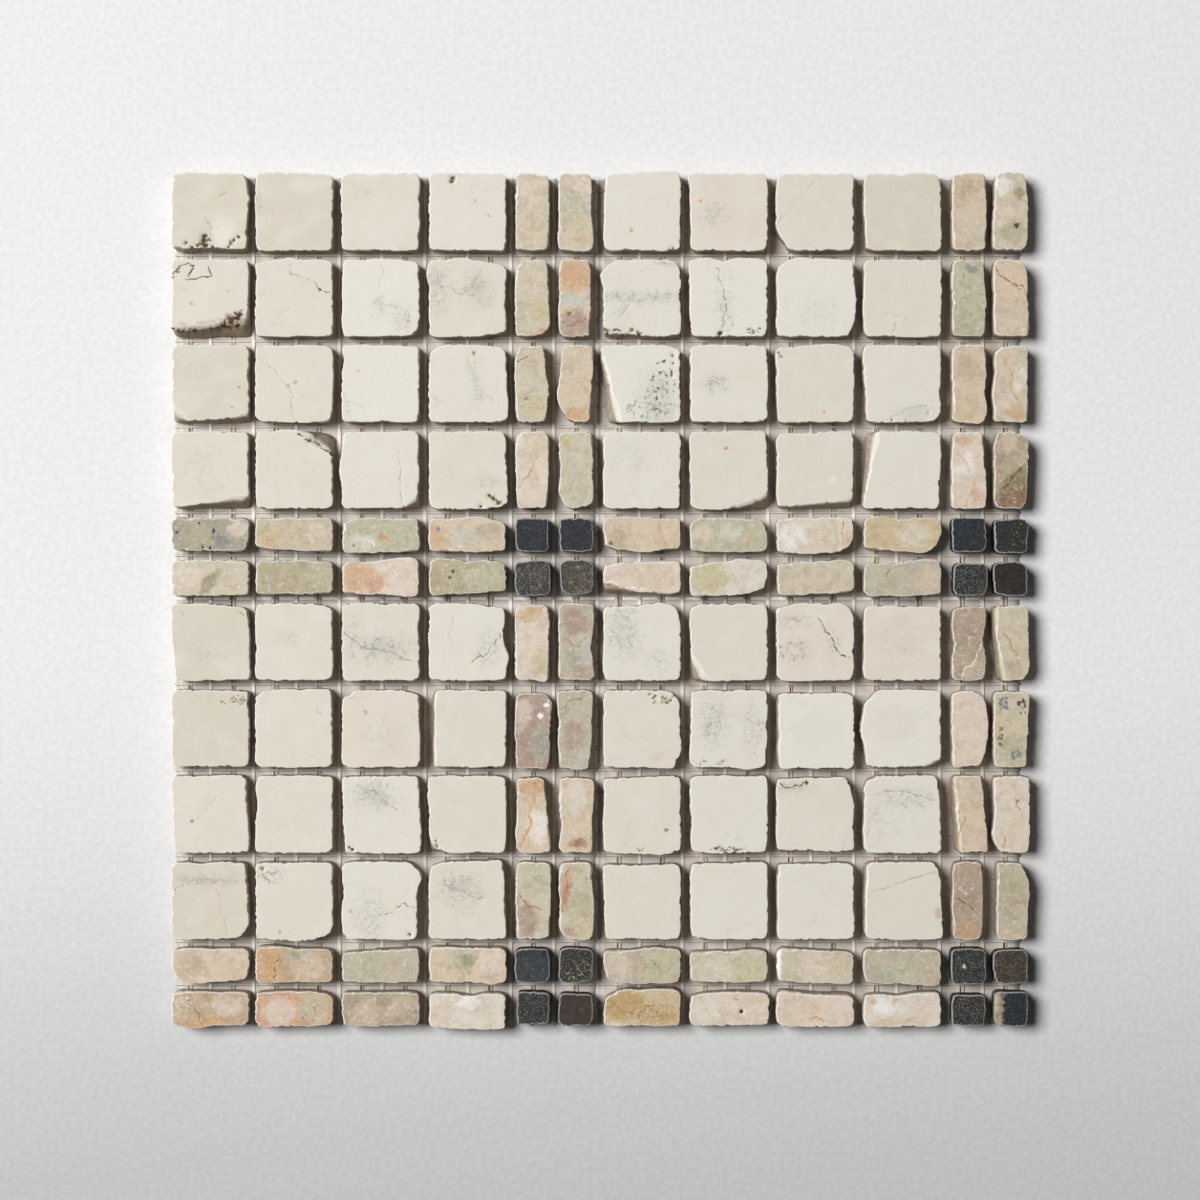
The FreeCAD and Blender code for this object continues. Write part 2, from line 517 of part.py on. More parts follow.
def stone_nodes(columns, rows):
    """The stones of each node, by its name."""
    names = {
        ("large", "large"): "cream_squares",
        ("large", "small"): "upright_strips",
        ("small", "large"): "lying_strips",
        ("small", "small"): "black_squares",
    }
    nodes = {}
    for row_kind, row_run in stone_groups(rows):
        for column_kind, column_run in stone_groups(columns):
            for row_set, column_set in node_sets(row_kind, row_run, column_kind, column_run):
                name = "_".join((names[row_kind, column_kind], numbered("row", row_set),
                                 numbered("col", column_set)))
                nodes[name] = [placed_stone(r, c, rows, columns) for r in row_set for c in column_set]
    return nodes


def placed_stone(row, column, rows, columns):
    """The stone of a row and a column, both counted from the top left, at its place."""
    _, x, width = columns[column - 1]
    _, y, height = rows[row - 1]
    solid = stone(row, column, width, height)
    solid.translate(FreeCAD.Vector(x, -y, 0))
    return solid


def main():
    os.makedirs("parts", exist_ok=True)
    columns, sheet_width = lines_of_stones(column_drift)
    rows, sheet_height = lines_of_stones([-drift for drift in row_drift])
    for name, solids in stone_nodes(columns, rows).items():
        Part.makeCompound(solids).exportStep(f"parts/{name}.step")
    for name, solid in backing_mesh(sheet_width, sheet_height).items():
        solid.exportStep(f"parts/{name}.step")


main()
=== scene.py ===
import math
import random
import re

import bmesh
import bpy
import numpy
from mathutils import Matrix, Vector, noise
from mathutils.geometry import delaunay_2d_cdt


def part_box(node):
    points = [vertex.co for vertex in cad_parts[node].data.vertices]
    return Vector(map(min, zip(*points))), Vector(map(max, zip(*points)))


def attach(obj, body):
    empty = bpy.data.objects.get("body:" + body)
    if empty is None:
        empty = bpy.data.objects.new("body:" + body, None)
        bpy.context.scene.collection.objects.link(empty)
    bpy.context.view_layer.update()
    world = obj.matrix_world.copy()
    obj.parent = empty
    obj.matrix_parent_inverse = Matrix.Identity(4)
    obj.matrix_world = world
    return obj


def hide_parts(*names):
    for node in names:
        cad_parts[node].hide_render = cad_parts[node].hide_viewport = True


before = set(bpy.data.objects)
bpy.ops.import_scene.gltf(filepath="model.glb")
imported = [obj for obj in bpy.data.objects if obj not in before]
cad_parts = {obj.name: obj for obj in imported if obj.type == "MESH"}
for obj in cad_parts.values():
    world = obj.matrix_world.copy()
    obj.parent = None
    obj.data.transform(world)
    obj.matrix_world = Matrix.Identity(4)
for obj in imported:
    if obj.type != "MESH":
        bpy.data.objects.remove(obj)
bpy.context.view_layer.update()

# Mosaic tile sheet: each stone is rebuilt finely on its own solid's outlines, with chipped edges,
# pits and veins, and the backing mesh as woven yarns. Sizes are in mm and become metres as
# the meshes are made. A place on the sheet is given from its middle, X to the right and Y up.
mm = 0.001

# Levels of a stone's solid, measured from the mesh up or from the face down
foot_level = 0.6
low_level = 1.9
shoulder_drop = 1.1
level_slack = 0.03
wall_shares = (0.35, 0.7)

# Fineness of the stones: steps round the outline and over the face
station_step = {"cream_marble": 0.52, "veined_marble": 0.48, "black_marble": 0.4}
cap_step = {"cream_marble": 1.0, "veined_marble": 0.72, "black_marble": 0.6}
rim_turns = (0.25, 0.5, 0.75, 1.0)
rim_roundness = 1.2
face_margin = 0.4

# Worn rims: how much of the solid's inset shows at an ordinary edge, where a wide bevel
# starts to show in full
rim_share = {"cream_marble": 0.3, "veined_marble": 0.32, "black_marble": 0.28}
bevel_inset = 1.15
bevel_blend = 0.7

# Chips along the edges and the roughness of the broken sides
chip_every = {"cream_marble": 1.5, "veined_marble": 1.3, "black_marble": 1.3}
chip_half = (0.4, 1.7)
chip_depth = {"cream_marble": 0.55, "veined_marble": 0.5, "black_marble": 0.35}
wall_roughness = 0.3
edge_ragged = 0.4
rim_ragged = 0.28
face_swell = 0.03

# Named stone and mark colours, as red, green and blue from 0 to 255
tones = {
    "tan cream": (212, 204, 187),
    "cream": (219, 212, 198),
    "ivory": (222, 217, 204),
    "pale ivory": (225, 221, 210),
    "rosy cream": (221, 211, 197),
    "white": (240, 237, 230),
    "pale grey": (196, 196, 186),
    "grey green": (160, 164, 150),
    "blue grey": (122, 130, 132),
    "olive": (124, 110, 72),
    "dark olive": (78, 68, 42),
    "brown": (132, 102, 70),
    "dark brown": (84, 64, 44),
    "gold": (188, 152, 92),
    "orange": (205, 158, 110),
    "rust": (156, 104, 70),
    "coral": (204, 160, 130),
    "pink": (221, 206, 190),
    "mauve": (172, 148, 134),
    "sage": (188, 186, 160),
    "khaki": (180, 170, 140),
    "yellow green": (198, 190, 150),
    "honey": (203, 184, 150),
    "peach": (213, 195, 171),
    "oatmeal": (204, 194, 172),
    "taupe": (174, 156, 134),
    "putty": (190, 180, 160),
    "grey olive": (161, 155, 136),
    "beige": (197, 186, 160),
    "fawn": (191, 166, 137),
    "umber": (158, 138, 108),
    "iron grey": (84, 80, 76),
    "blue black": (27, 31, 39),
    "charcoal": (31, 30, 28),
    "coppery charcoal": (56, 47, 40),
    "copper": (124, 96, 78),
    "bright yarn": (226, 220, 208),
    # The glue skin's greyish tone is partly the glue and partly painted shade for the floor of the gaps.
    "shaded glue skin": (196, 186, 175),
    "tan yarn": (192, 180, 158),
    "dull yarn": (204, 197, 184),
}


def linear(tone):
    """A named tone as the linear colour that a shader takes."""
    shares = [value / 255 for value in tones[tone]]
    return [s / 12.92 if s <= 0.04045 else ((s + 0.055) / 1.055) ** 2.4 for s in shares]


def numbers_in(name, word):
    """The rows or the columns that a node's name gives."""
    first, last = re.search(rf"_{word}s?_(\d\d)(?:_(\d\d))?", name).groups()
    return range(int(first), int(last or first) + 1)


def stone_clouds(name):
    """The points of each stone in a node, in mm, by its row and column."""
    welded = bmesh.new()
    welded.from_mesh(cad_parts[name].data)
    bmesh.ops.remove_doubles(welded, verts=welded.verts, dist=0.001 * mm)
    clouds = []
    seen = set()
    for start in welded.verts:
        if start in seen:
            continue
        seen.add(start)
        found = [start]
        for vert in found:
            for edge in vert.link_edges:
                other = edge.other_vert(vert)
                if other not in seen:
                    seen.add(other)
                    found.append(other)
        clouds.append(numpy.array([vert.co for vert in found]) / mm)
    welded.free()
    rows, columns = numbers_in(name, "row"), numbers_in(name, "col")
    clouds.sort(key=lambda cloud: -cloud[:, 1].mean())
    stones = {}
    for i, row in enumerate(rows):
        beside = clouds[i * len(columns):(i + 1) * len(columns)]
        beside.sort(key=lambda cloud: cloud[:, 0].mean())
        for column, cloud in zip(columns, beside):
            stones[row, column] = cloud
    return stones


def ring_at(cloud, centre, level):
    """The outline of a stone at a level, as closely set points about its centre, and its length."""
    ring = cloud[abs(cloud[:, 2] - level) < level_slack][:, :2] - centre
    ring = ring[numpy.argsort(numpy.arctan2(ring[:, 1], ring[:, 0]))]
    ring = numpy.vstack([ring, ring[:1]])
    along = numpy.concatenate([[0], numpy.cumsum(numpy.hypot(*numpy.diff(ring, axis=0).T))])
    places = numpy.arange(0, along[-1], 0.2)
    return numpy.column_stack([numpy.interp(places, along, ring[:, i]) for i in range(2)]), along[-1]


def reach_at(ring, angles):
    """How far an outline lies from the centre along each angle."""
    at = numpy.arctan2(ring[:, 1], ring[:, 0])
    order = numpy.argsort(at)
    return numpy.interp(angles, at[order], numpy.hypot(*ring.T)[order], period=2 * math.pi)


def chips(rng, count, length, slot):
    """How deep the chips bite at each station round a stone."""
    places = numpy.arange(count) * length / count
    depths = numpy.zeros(count)
    for _ in range(round(length / chip_every[slot])):
        middle = rng.uniform(0, length)
        half = rng.uniform(*chip_half)
        deep = chip_depth[slot] * rng.random() ** 1.8
        away = abs((places - middle + length / 2) % length - length / 2)
        depths = numpy.maximum(depths, deep * (1 - (away / half) ** 2))
    return depths


def rough(points, scale, seed):
    """Smooth noise from -1 to 1 at each point, with bumps of a given size in mm."""
    return numpy.array([noise.noise(Vector((x / scale + seed, y / scale - seed, z / scale))) for x, y, z in points])


def stone_rings(cloud, centre, rng, slot):
    """The rings of a stone from its foot up to its face, its top level and where its edge is a wide bevel."""
    top = cloud[:, 2].max()
    shoulder, length = ring_at(cloud, centre, top - shoulder_drop)
    count = round(length / station_step[slot])
    angles = numpy.interp(
        numpy.arange(count) / count,
        numpy.arange(len(shoulder)) / len(shoulder),
        numpy.unwrap(numpy.arctan2(shoulder[:, 1], shoulder[:, 0])),
    )
    foot, low, middle, face = (
        reach_at(ring_at(cloud, centre, level)[0], angles)
        for level in (foot_level, low_level, top - shoulder_drop, top)
    )
    bites = chips(rng, count, length, slot)
    seed = rng.uniform(0, 100)
    directions = numpy.column_stack([numpy.cos(angles), numpy.sin(angles)])

    def ring(reach, height, bite, roughness):
        points = numpy.column_stack([directions * reach[:, None], numpy.full(count, height)])
        coarse = rough(points, 2.6, seed)
        fine = rough(points, 0.7, seed)
        patchy = (0.6 + 1.2 * rough(points, 6.0, seed + 9)).clip(0.15, 1.3)
        inward = bites * bite + roughness * patchy * (0.25 + 0.5 * coarse + 0.9 * fine).clip(0)
        points[:, :2] -= directions * inward[:, None]
        return points

    rings = [ring(foot, foot_level, 0.0, wall_roughness), ring(low, low_level, 0.1, wall_roughness)]
    for share in wall_shares:
        height = low_level + share * (top - shoulder_drop - low_level)
        rings.append(ring(low + share * (middle - low), height, 0.15 + 0.6 * share, wall_roughness))
    bevel = ((middle - face - bevel_inset) / bevel_blend).clip(0, 1)
    inset = (middle - face) * (rim_share[slot] + (1 - rim_share[slot]) * bevel)
    outline = numpy.column_stack([directions * middle[:, None], numpy.zeros(count)])
    inset = (inset + edge_ragged * rim_share[slot] * rough(outline, 1.1, seed)).clip(0.12)
    for turn in (0.0,) + rim_turns:
        in_share = 1 - math.cos(turn * math.pi / 2) ** rim_roundness
        down_share = 1 - math.sin(turn * math.pi / 2) ** rim_roundness
        drop = numpy.minimum(shoulder_drop, 1.6 * inset) * (1 - bevel) + shoulder_drop * bevel
        points = ring(middle - inset * in_share, top, 0.85 + 0.4 * turn, rim_ragged)
        points[:, 2] -= drop * down_share
        rings.append(points)
    rings.append(rings[-1] - numpy.column_stack([directions * face_margin, numpy.zeros(count)]))
    return rings, top, bevel


def cap_points(outline, step, rng, extra):
    """Places inside a stone's face: the closely set ones of its marks, then an uneven grid."""
    kept = {}

    def near(x, y, distance):
        cell_x, cell_y = math.floor(x), math.floor(y)
        for i in (cell_x - 1, cell_x, cell_x + 1):
            for j in (cell_y - 1, cell_y, cell_y + 1):
                for other_x, other_y in kept.get((i, j), ()):
                    if math.hypot(x - other_x, y - other_y) < distance:
                        return True
        return False

    def keep(x, y):
        kept.setdefault((math.floor(x), math.floor(y)), []).append((x, y))

    angles = numpy.arctan2(outline[:, 1], outline[:, 0])
    order = numpy.argsort(angles)
    reaches = numpy.hypot(*outline.T)[order]

    def inside(x, y, margin):
        reach = numpy.interp(math.atan2(y, x), angles[order], reaches, period=2 * math.pi)
        return math.hypot(x, y) < reach - margin

    for x, y in outline:
        keep(x, y)
    points = []
    for x, y in extra:
        if inside(x, y, 0.15) and not near(x, y, 0.17):
            keep(x, y)
            points.append((x, y))
    low, high = outline.min(axis=0), outline.max(axis=0)
    for i in range(int((high[1] - low[1]) / (0.87 * step)) + 1):
        for j in range(int((high[0] - low[0]) / step) + 1):
            x = low[0] + (j + 0.5 * (i % 2)) * step + rng.uniform(-0.2, 0.2) * step
            y = low[1] + i * 0.87 * step + rng.uniform(-0.2, 0.2) * step
            if inside(x, y, 0.4 * step) and not near(x, y, 0.5 * step):
                keep(x, y)
                points.append((x, y))
    return points


def cap_faces(outline, inner):
    """Triangles over a stone's face, numbered along its outline and then its inner points."""
    places = [Vector(point) for point in outline] + [Vector(point) for point in inner]
    border = [list(range(len(outline)))]
    result = delaunay_2d_cdt(places, [], border, 1, 1e-5)
    source = [origin[0] if origin else -1 for origin in result[3]]
    return [[source[i] for i in face] for face in result[2] if all(source[i] >= 0 for i in face)]


# Marks: what a stone shows beside its own colour. Each has a kind, a tone, a function that gives
# its cover at some points from 0 to 1, the places that the face needs to show it, and its depth.

def patch(tone, x, y, reach_x, reach_y, turn=0, strength=0.8, soft=0.22):
    """A clouded area of another tone, an ellipse turned by some degrees."""
    def cover(points, wobble, ragged):
        cosine, sine = math.cos(math.radians(turn)), math.sin(math.radians(turn))
        away = points - (x, y) + 1.4 * wobble
        along = (away[:, 0] * cosine + away[:, 1] * sine) / reach_x
        across = (away[:, 1] * cosine - away[:, 0] * sine) / reach_y
        distance = numpy.hypot(along, across) + 0.3 * ragged
        return strength * ((1 + soft - distance) / (2 * soft)).clip(0, 1)
    return ("ground", tone, cover, [], 0.0)


def line(tone, width, strength, *points):
    """A vein or a crack along some points, stronger in some places than in others."""
    path = wandering(points)
    fading = (0.75 + 0.8 * rough(numpy.column_stack([path, path[:, 0]]), 1.6, width)).clip(0.15, 1)
    def cover(places, wobble, ragged):
        away = numpy.hypot(places[:, None, 0] - path[None, :, 0], places[:, None, 1] - path[None, :, 1])
        nearest = away.argmin(axis=1)
        core = 1.3 - away.min(axis=1) / (0.6 * width) * (1 + 0.5 * ragged)
        return strength * fading[nearest] * core.clip(0, 1)
    across = numpy.gradient(path, axis=0)[:, ::-1] * (-1, 1)
    across /= numpy.hypot(*across.T)[:, None] + 1e-9
    beside = [path + across * width * side for side in (0, -0.5, 0.5, -1.0, 1.0)]
    return ("mark", tone, cover, numpy.vstack(beside), 0.08)


def spot(tone, radius, strength, *points, depth=0.0, sizes=1.0):
    """Uneven specks at some places, each with its share of the radius."""
    middles = numpy.array(points)
    radii = radius * numpy.ones(len(middles)) * sizes
    def cover(places, wobble, ragged):
        away = numpy.hypot(places[:, None, 0] - middles[None, :, 0], places[:, None, 1] - middles[None, :, 1])
        return strength * (1.5 - (away / radii).min(axis=1) * (1 + 0.8 * ragged)).clip(0, 1)
    return ("mark", tone, cover, ringed(middles, radii), depth)


def pit(radius, *points, tone="dark olive"):
    """Open holes at some places, dark inside."""
    return spot(tone, radius, 1.0, *points, depth=0.9)


def specks(tone, radius, strength, count, x, y, reach_x, reach_y):
    """Small spots strewn over an ellipse."""
    rng = random.Random(f"{x} {y} {count}")
    points = []
    for _ in range(count):
        angle = rng.uniform(0, 2 * math.pi)
        out = math.sqrt(rng.random())
        points.append((x + reach_x * out * math.cos(angle), y + reach_y * out * math.sin(angle)))
    return spot(tone, radius, strength, *points, sizes=numpy.array([rng.uniform(0.5, 1.4) for _ in points]))


def threads(x, y, reach_x, reach_y, strength):
    """An area where fine grey-green threads run through the stone."""
    kind, tone, cover, places, depth = patch("grey green", x, y, reach_x, reach_y, 0, strength, 0.5)
    return ("threads", tone, cover, places, depth)


def ledge(depth, width, tone, start, end):
    """A step down on the right of a line from one place to another."""
    start, end = numpy.array(start, float), numpy.array(end, float)
    ahead = (end - start) / numpy.hypot(*(end - start))
    beyond = numpy.array((ahead[1], -ahead[0]))
    def cover(places, wobble, ragged):
        return (((places - start) @ beyond + 0.4 * ragged) / width).clip(0, 1)
    along = numpy.arange(0, numpy.hypot(*(end - start)), 0.45)
    path = start + along[:, None] * ahead
    beside = [path + beyond * width * side for side in (-0.2, 0.2, 0.6, 1.0)]
    return ("mark", tone, cover, numpy.vstack(beside), depth)


def wandering(points):
    """A line through some points that strays a little, as a crack does, in short steps."""
    path = []
    for (x, y), (end_x, end_y) in zip(points, points[1:]):
        count = max(1, round(math.hypot(end_x - x, end_y - y) / 0.3))
        path += [(x + i / count * (end_x - x), y + i / count * (end_y - y)) for i in range(count)]
    path.append(points[-1])
    strayed = []
    for x, y in path:
        moves = [reach * noise.noise_vector(Vector((x / size, y / size, size)))
                 for reach, size in ((1.3, 4.5), (0.7, 1.7), (0.35, 0.7))]
        strayed.append((x + sum(move.x for move in moves), y + sum(move.y for move in moves)))
    return numpy.array(strayed)


def ringed(middles, radii):
    """Closely set places at and round some middles."""
    places = [middles]
    for share in (0.5, 1.1):
        for i in range(7):
            angle = 2 * math.pi * (i + share) / 7
            places.append(middles + share * radii[:, None] * (math.cos(angle), math.sin(angle)))
    return numpy.vstack(places)


# What each stone looks like: its ground tone, its marks and the tone of its flecks
looks = {}


def stone(row, column, ground, *marks, flecks=None):
    """Sets the look of the stone in a row and a column."""
    if flecks is None:
        flecks = "pale grey" if "black" in ground or "charcoal" in ground else "white"
    looks[row, column] = (ground, marks, flecks)


def row_1():
    """Plain cream squares, two with open pits, and soft pink and sage strips."""
    stone(1, 1, "tan cream",
          patch("pale ivory", -132.5, 129.5, 4.5, 5.5, 0, 0.9, 0.25),
          line("orange", 0.35, 0.9, (-134.8, 141.8), (-132.5, 143.8)),
          line("grey green", 0.5, 0.6, (-140, 136), (-139, 133), (-136.5, 131.5), (-137, 128)),
          pit(0.86, (-139.5, 128.3), (-139.8, 126.8), (-139.2, 125.2)),
          pit(0.47, (-146, 126), (-144, 124.4), (-142, 125), (-136.5, 124.6)),
          spot("olive", 0.75, 0.9, (-141, 125.6), (-138, 127.2), (-130.5, 126)),
          pit(0.47, (-129, 127), (-127.5, 128.2), (-131, 124.5)))
    stone(1, 2, "tan cream",
          patch("grey green", -121, 141, 1.4, 3, 0, 0.11),
          threads(-121, 141, 1.8, 3.9, 0.52),
          line("orange", 0.3, 0.5, (-115.4, 136.6), (-114.6, 138.6)),
          threads(-119, 126, 3, 2, 0.48))
    stone(1, 3, "cream",
          patch("ivory", -76, 130, 8, 7, 20, 0.5),
          threads(-84, 145, 4, 3, 0.32))
    stone(1, 4, "ivory",
          pit(0.47, (-52, 149), (-52.3, 147.4)),
          spot("olive", 0.75, 0.7, (-52, 148)),
          spot("grey green", 0.5, 0.6, (-39.3, 135.6), (-44, 141)))
    stone(1, 5, "oatmeal",
          patch("pink", -24, 145, 5, 4, 0, 0.7),
          patch("peach", -25, 130, 5, 6, 0, 0.7),
          specks("mauve", 0.29, 0.27, 22, -24, 138, 5, 10))
    stone(1, 6, "oatmeal",
          patch("pink", -6, 146, 6, 3, -50, 0.9),
          patch("sage", -9, 139, 5, 5, -40, 0.8),
          patch("yellow green", -7, 133, 3, 3, 0, 0.5),
          patch("peach", -9, 127, 5, 4, 0, 0.6),
          line("rust", 0.3, 0.6, (-9, 151), (-5, 148), (-3, 145)),
          line("khaki", 0.4, 0.6, (-12, 144), (-9, 140), (-6, 138)),
          specks("olive", 0.25, 0.5, 14, -9, 130, 5, 6))
    stone(1, 7, "ivory",
          spot("orange", 0.6, 0.8, (11, 130.5)),
          pit(0.39, (26, 124), (24.8, 123.6)))
    stone(1, 8, "rosy cream",
          spot("orange", 0.6, 0.8, (35.5, 141)),
          patch("pale grey", 40.5, 136.5, 3.5, 2.5, 40, 0.23),
          threads(40.5, 136.5, 4.5, 3.2, 0.72))
    stone(1, 9, "cream",
          line("pale grey", 0.5, 0.8, (78, 150), (75, 146), (69.5, 140.5), (63.5, 133.5)),
          line("olive", 0.4, 0.7, (62, 128), (64, 125.5), (66.5, 124.6)),
          spot("olive", 0.4, 0.6, (62.6, 127.4), (64.6, 125.4)))
    stone(1, 10, "tan cream",
          line("pale grey", 0.4, 0.6, (112, 143), (117, 140), (119, 134)),
          threads(117, 139, 4, 4, 0.2))
    stone(1, 11, "peach",
          patch("taupe", 129, 145, 5, 4, 0, 0.4),
          patch("oatmeal", 130, 130, 5, 6, 0, 0.6),
          specks("taupe", 0.29, 0.27, 20, 130, 137, 5, 12))
    stone(1, 12, "oatmeal",
          patch("white", 142, 146, 3, 3, 0, 0.9),
          patch("pink", 142, 136, 4, 5, 0, 0.8),
          patch("olive", 148, 143, 1.8, 2.5, 0, 0.7),
          patch("khaki", 146, 130, 5, 4, 0, 0.8),
          spot("dark brown", 0.8, 0.9, (147, 132)))


def row_2():
    """A square with a rough lower ledge, and the strongest cracks of the cream squares."""
    stone(2, 1, "cream",
          line("dark olive", 0.55, 1.0, (-151, 115), (-149, 118), (-146, 119.2), (-143, 118), (-145, 114.5)),
          line("dark olive", 0.5, 1.0, (-147, 112.5), (-143, 113), (-139, 114.3), (-137.3, 115), (-138, 117.5)),
          line("olive", 0.7, 0.8, (-151.5, 113.5), (-149.5, 115.5), (-148, 118.5)),
          spot("grey green", 0.5, 0.6, (-144, 104.4), (-131, 109)),
          # The taupe and brown along the lower ledge are partly the rough stone and partly painted shade on its
          # down-facing slope.
          patch("taupe", -139, 96.5, 13, 2.2, 8, 0.7),
          patch("brown", -130, 98.5, 4, 2.4, 20, 0.7),
          spot("dark olive", 0.45, 0.9, (-132.4, 98.2), (-131, 99.6), (-129.6, 98.4), (-128.6, 101), (-133.6, 97.2),
               (-143, 95.6), (-144.6, 95.9), (-148.6, 95.6), (-150.6, 95.8)),
          pit(0.86, (-127.5, 99.5), (-130, 98), (-132.5, 96.3), (-128, 96.5), (-143, 94.8)),
          spot("dark olive", 1.0, 0.9, (-134.5, 95.5), (-137, 95), (-146, 94), (-149, 94.4), (-140.5, 94.4)),
          spot("dark brown", 0.8, 0.9, (-131, 96), (-129, 99.5), (-147.5, 94.2), (-127, 101)))
    stone(2, 2, "cream",
          line("grey green", 0.45, 0.8, (-109, 119), (-108.5, 115), (-105, 113.5), (-101, 112), (-98.5, 109.5)),
          line("olive", 0.4, 0.9, (-100, 111), (-98.5, 109.5), (-95.5, 108)),
          line("grey green", 0.3, 0.35, (-100, 108), (-97, 106)),
          pit(0.35, (-98.6, 109.6)))
    stone(2, 3, "pale ivory",
          line("pale grey", 0.5, 0.6, (-77, 118), (-77.5, 113), (-77, 110)),
          line("grey green", 0.6, 0.55, (-78, 103.5), (-74, 104.5), (-71, 102), (-68, 102), (-67, 95)),
          patch("grey green", -77.5, 104, 2, 3, 20, 0.18),
          threads(-77.5, 104, 2.6, 3.9, 0.64),
          patch("grey green", -69.5, 99, 3, 4, 20, 0.16),
          threads(-69.5, 99, 3.9, 5.2, 0.6),
          threads(-72, 101, 6, 4, 0.4))
    stone(2, 4, "cream",
          line("grey green", 0.6, 0.6, (-57, 112), (-52, 110), (-49, 107.5), (-45, 111), (-43, 115)),
          patch("grey green", -58, 113, 2.5, 3, 0, 0.23),
          threads(-58, 113, 3.2, 3.9, 0.72),
          patch("grey green", -44, 110, 4, 3, 30, 0.23),
          threads(-44, 110, 5.2, 3.9, 0.72),
          threads(-57, 109, 4, 7, 0.8),
          threads(-43.5, 110, 5, 6, 0.8),
          patch("peach", -40, 105, 3, 2.5, 0, 0.4))
    stone(2, 5, "oatmeal",
          patch("yellow green", -21.5, 102.5, 4, 4, 0, 0.8),
          patch("peach", -25, 113, 5, 4, 0, 0.7),
          patch("orange", -19.5, 94, 2.5, 2.2, -40, 0.8),
          specks("taupe", 0.29, 0.32, 20, -24, 106, 5, 11))
    stone(2, 6, "peach",
          patch("orange", -9, 115, 6, 6, 0, 0.7),
          patch("pale grey", -9, 105.5, 6, 2, 5, 0.9),
          patch("mauve", -9, 97, 6, 5, 0, 0.9),
          line("rust", 0.6, 0.7, (-14, 99), (-10, 97), (-5, 99)),
          spot("brown", 0.75, 0.9, (-11, 101)))
    stone(2, 7, "ivory",
          patch("pale grey", 14, 107, 13, 1.6, 2, 0.35),
          threads(14, 107, 15, 2.4, 0.9),
          threads(7, 103, 3.5, 8, 0.5),
          line("grey green", 0.5, 0.6, (10, 107), (9, 103), (6, 100)),
          line("grey green", 0.4, 0.5, (13, 116.2), (17, 116.8), (20, 116.2)),
          pit(0.4, (1.5, 95.5), (2.5, 93.8), (5, 95), (8, 93.6), (14, 93.6)),
          specks("olive", 0.35, 0.8, 26, 8, 94.6, 8, 1.4),
          patch("olive", 23, 119, 3.5, 0.8, -5, 0.4))
    stone(2, 8, "pale ivory",
          line("grey green", 0.5, 0.8, (41, 117), (42.5, 112), (44, 106), (45, 102), (43, 96)),
          line("olive", 0.4, 0.6, (43.8, 107), (45, 102), (47, 97)),
          threads(44, 104, 3, 10, 0.6),
          pit(0.8, (42.5, 94)),
          specks("dark olive", 0.3, 0.7, 14, 54.5, 95, 3, 1.2),
          spot("rust", 0.4, 0.6, (31.8, 98), (32.2, 95.6)))
    stone(2, 9, "pale ivory",
          threads(78, 100, 8, 6, 0.32))
    stone(2, 10, "cream",
          line("orange", 0.35, 0.8, (103, 93.5), (105, 98.5)),
          line("grey green", 0.3, 0.4, (96, 112), (101, 109), (108, 111)))
    stone(2, 11, "sage",
          patch("khaki", 128, 97, 5, 4, 0, 0.6),
          patch("blue grey", 131, 117, 2, 1.6, 0, 0.7),
          specks("blue grey", 0.43, 0.42, 16, 129, 104, 3.5, 11))
    stone(2, 12, "peach",
          line("rust", 0.5, 0.9, (138.5, 117.5), (144, 113), (150, 109)),
          line("rust", 0.35, 0.7, (143, 113.5), (147, 109.5), (150, 106.5)),
          patch("oatmeal", 144, 98, 5, 6, 0, 0.7))


